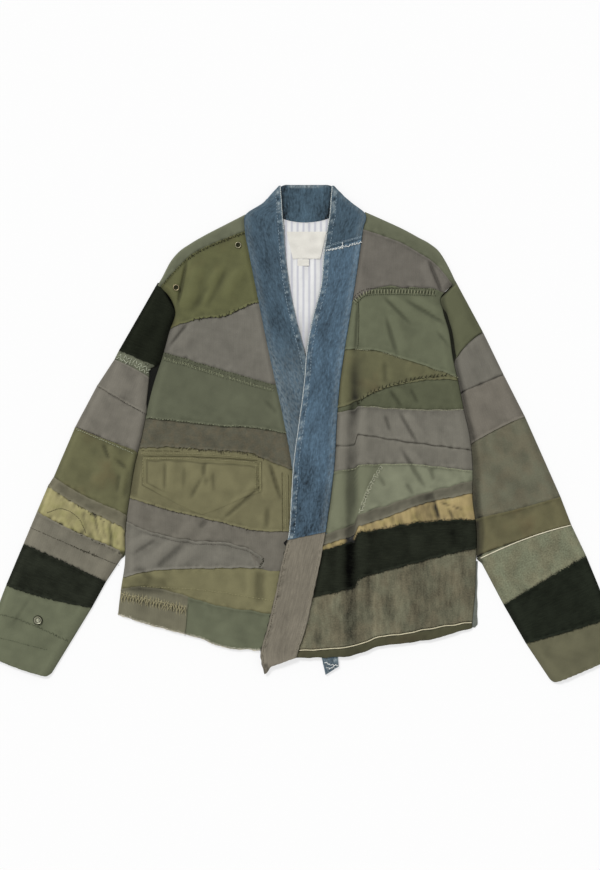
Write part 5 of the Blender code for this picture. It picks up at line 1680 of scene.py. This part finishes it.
FLOOR_REACH, FLOOR_Z = 2.0, -0.0003
floor_mesh = bpy.data.meshes.new("floor")
corners = ((-1, -1), (1, -1), (1, 1), (-1, 1))
floor_mesh.from_pydata([(x * FLOOR_REACH, y * FLOOR_REACH, FLOOR_Z) for x, y in corners], [], [(0, 1, 2, 3)])
floor = add_object("floor", floor_mesh)


def seen(tap):
    """1 for what the camera sees itself or through gloss or glass."""
    path = tap.node("ShaderNodeLightPath", out="Is Camera Ray")
    outputs = path.socket.node.outputs
    return path + Tap(tap.tree, outputs["Is Glossy Ray"]) + Tap(tap.tree, outputs["Is Transmission Ray"])


def two_looks(tap, share, first, second, end):
    """Shows the first shader, or by share the second, at the output node's surface."""
    both = tap.node("ShaderNodeMixShader", {0: share, 1: first, 2: second}, out="Shader")
    tap.tree.links.new(both.socket, tap.tree.nodes[end].inputs["Surface"])


WHITE = (1.0, 1.0, 1.0, 1.0)
SKY = 0.53            # strength of the sky as a light; it is seen at 1
FLOOR_GLOW = 0.65     # share of plain white in the floor as seen
paper = Finish("paper floor", on_cloth=False)
paper.shader.inputs["Base Color"].default_value = (0.95, 0.95, 0.95, 1.0)
paper.shader.inputs["Roughness"].default_value = 0.9
glow = paper.node("ShaderNodeEmission", {"Color": WHITE, "Strength": 1.0}, out="Emission")
share = paper.math("MINIMUM", seen(paper), 1.0) * FLOOR_GLOW
two_looks(paper, share, Tap(paper.tree, paper.shader.outputs[0]), glow, "Material Output")
floor_mesh.materials.append(paper.material)

world = bpy.data.worlds.new("sky")
world.use_nodes = True
tap = Tap(world.node_tree)
dim = tap.node("ShaderNodeBackground", {"Color": WHITE, "Strength": SKY})
bright = tap.node("ShaderNodeBackground", {"Color": WHITE, "Strength": 1.0})
two_looks(tap, seen(tap), dim, bright, "World Output")
bpy.context.scene.world = world

lamp = bpy.data.lights.new("lamp", "SUN")
lamp.energy, lamp.angle = 2.02, np.radians(14.0)
lamp_object = add_object("lamp", lamp)
lamp_object.rotation_euler = Vector((-0.55, 0.75, 1.0)).to_track_quat("Z", "Y").to_euler()

LENS, SENSOR = 85.0, 36.0
VIEW_HEIGHT = 1.3485      # how much of the floor the picture is high, in metres
VIEW_MIDDLE = (-0.0031, -0.0003)
camera = bpy.data.cameras.new("camera")
camera.lens, camera.sensor_width = LENS, SENSOR
camera_object = add_object("camera", camera)
camera_object.location = (*VIEW_MIDDLE, VIEW_HEIGHT * LENS / SENSOR + 0.005)
bpy.context.scene.camera = camera_object
bpy.context.scene.view_settings.view_transform = "Standard"
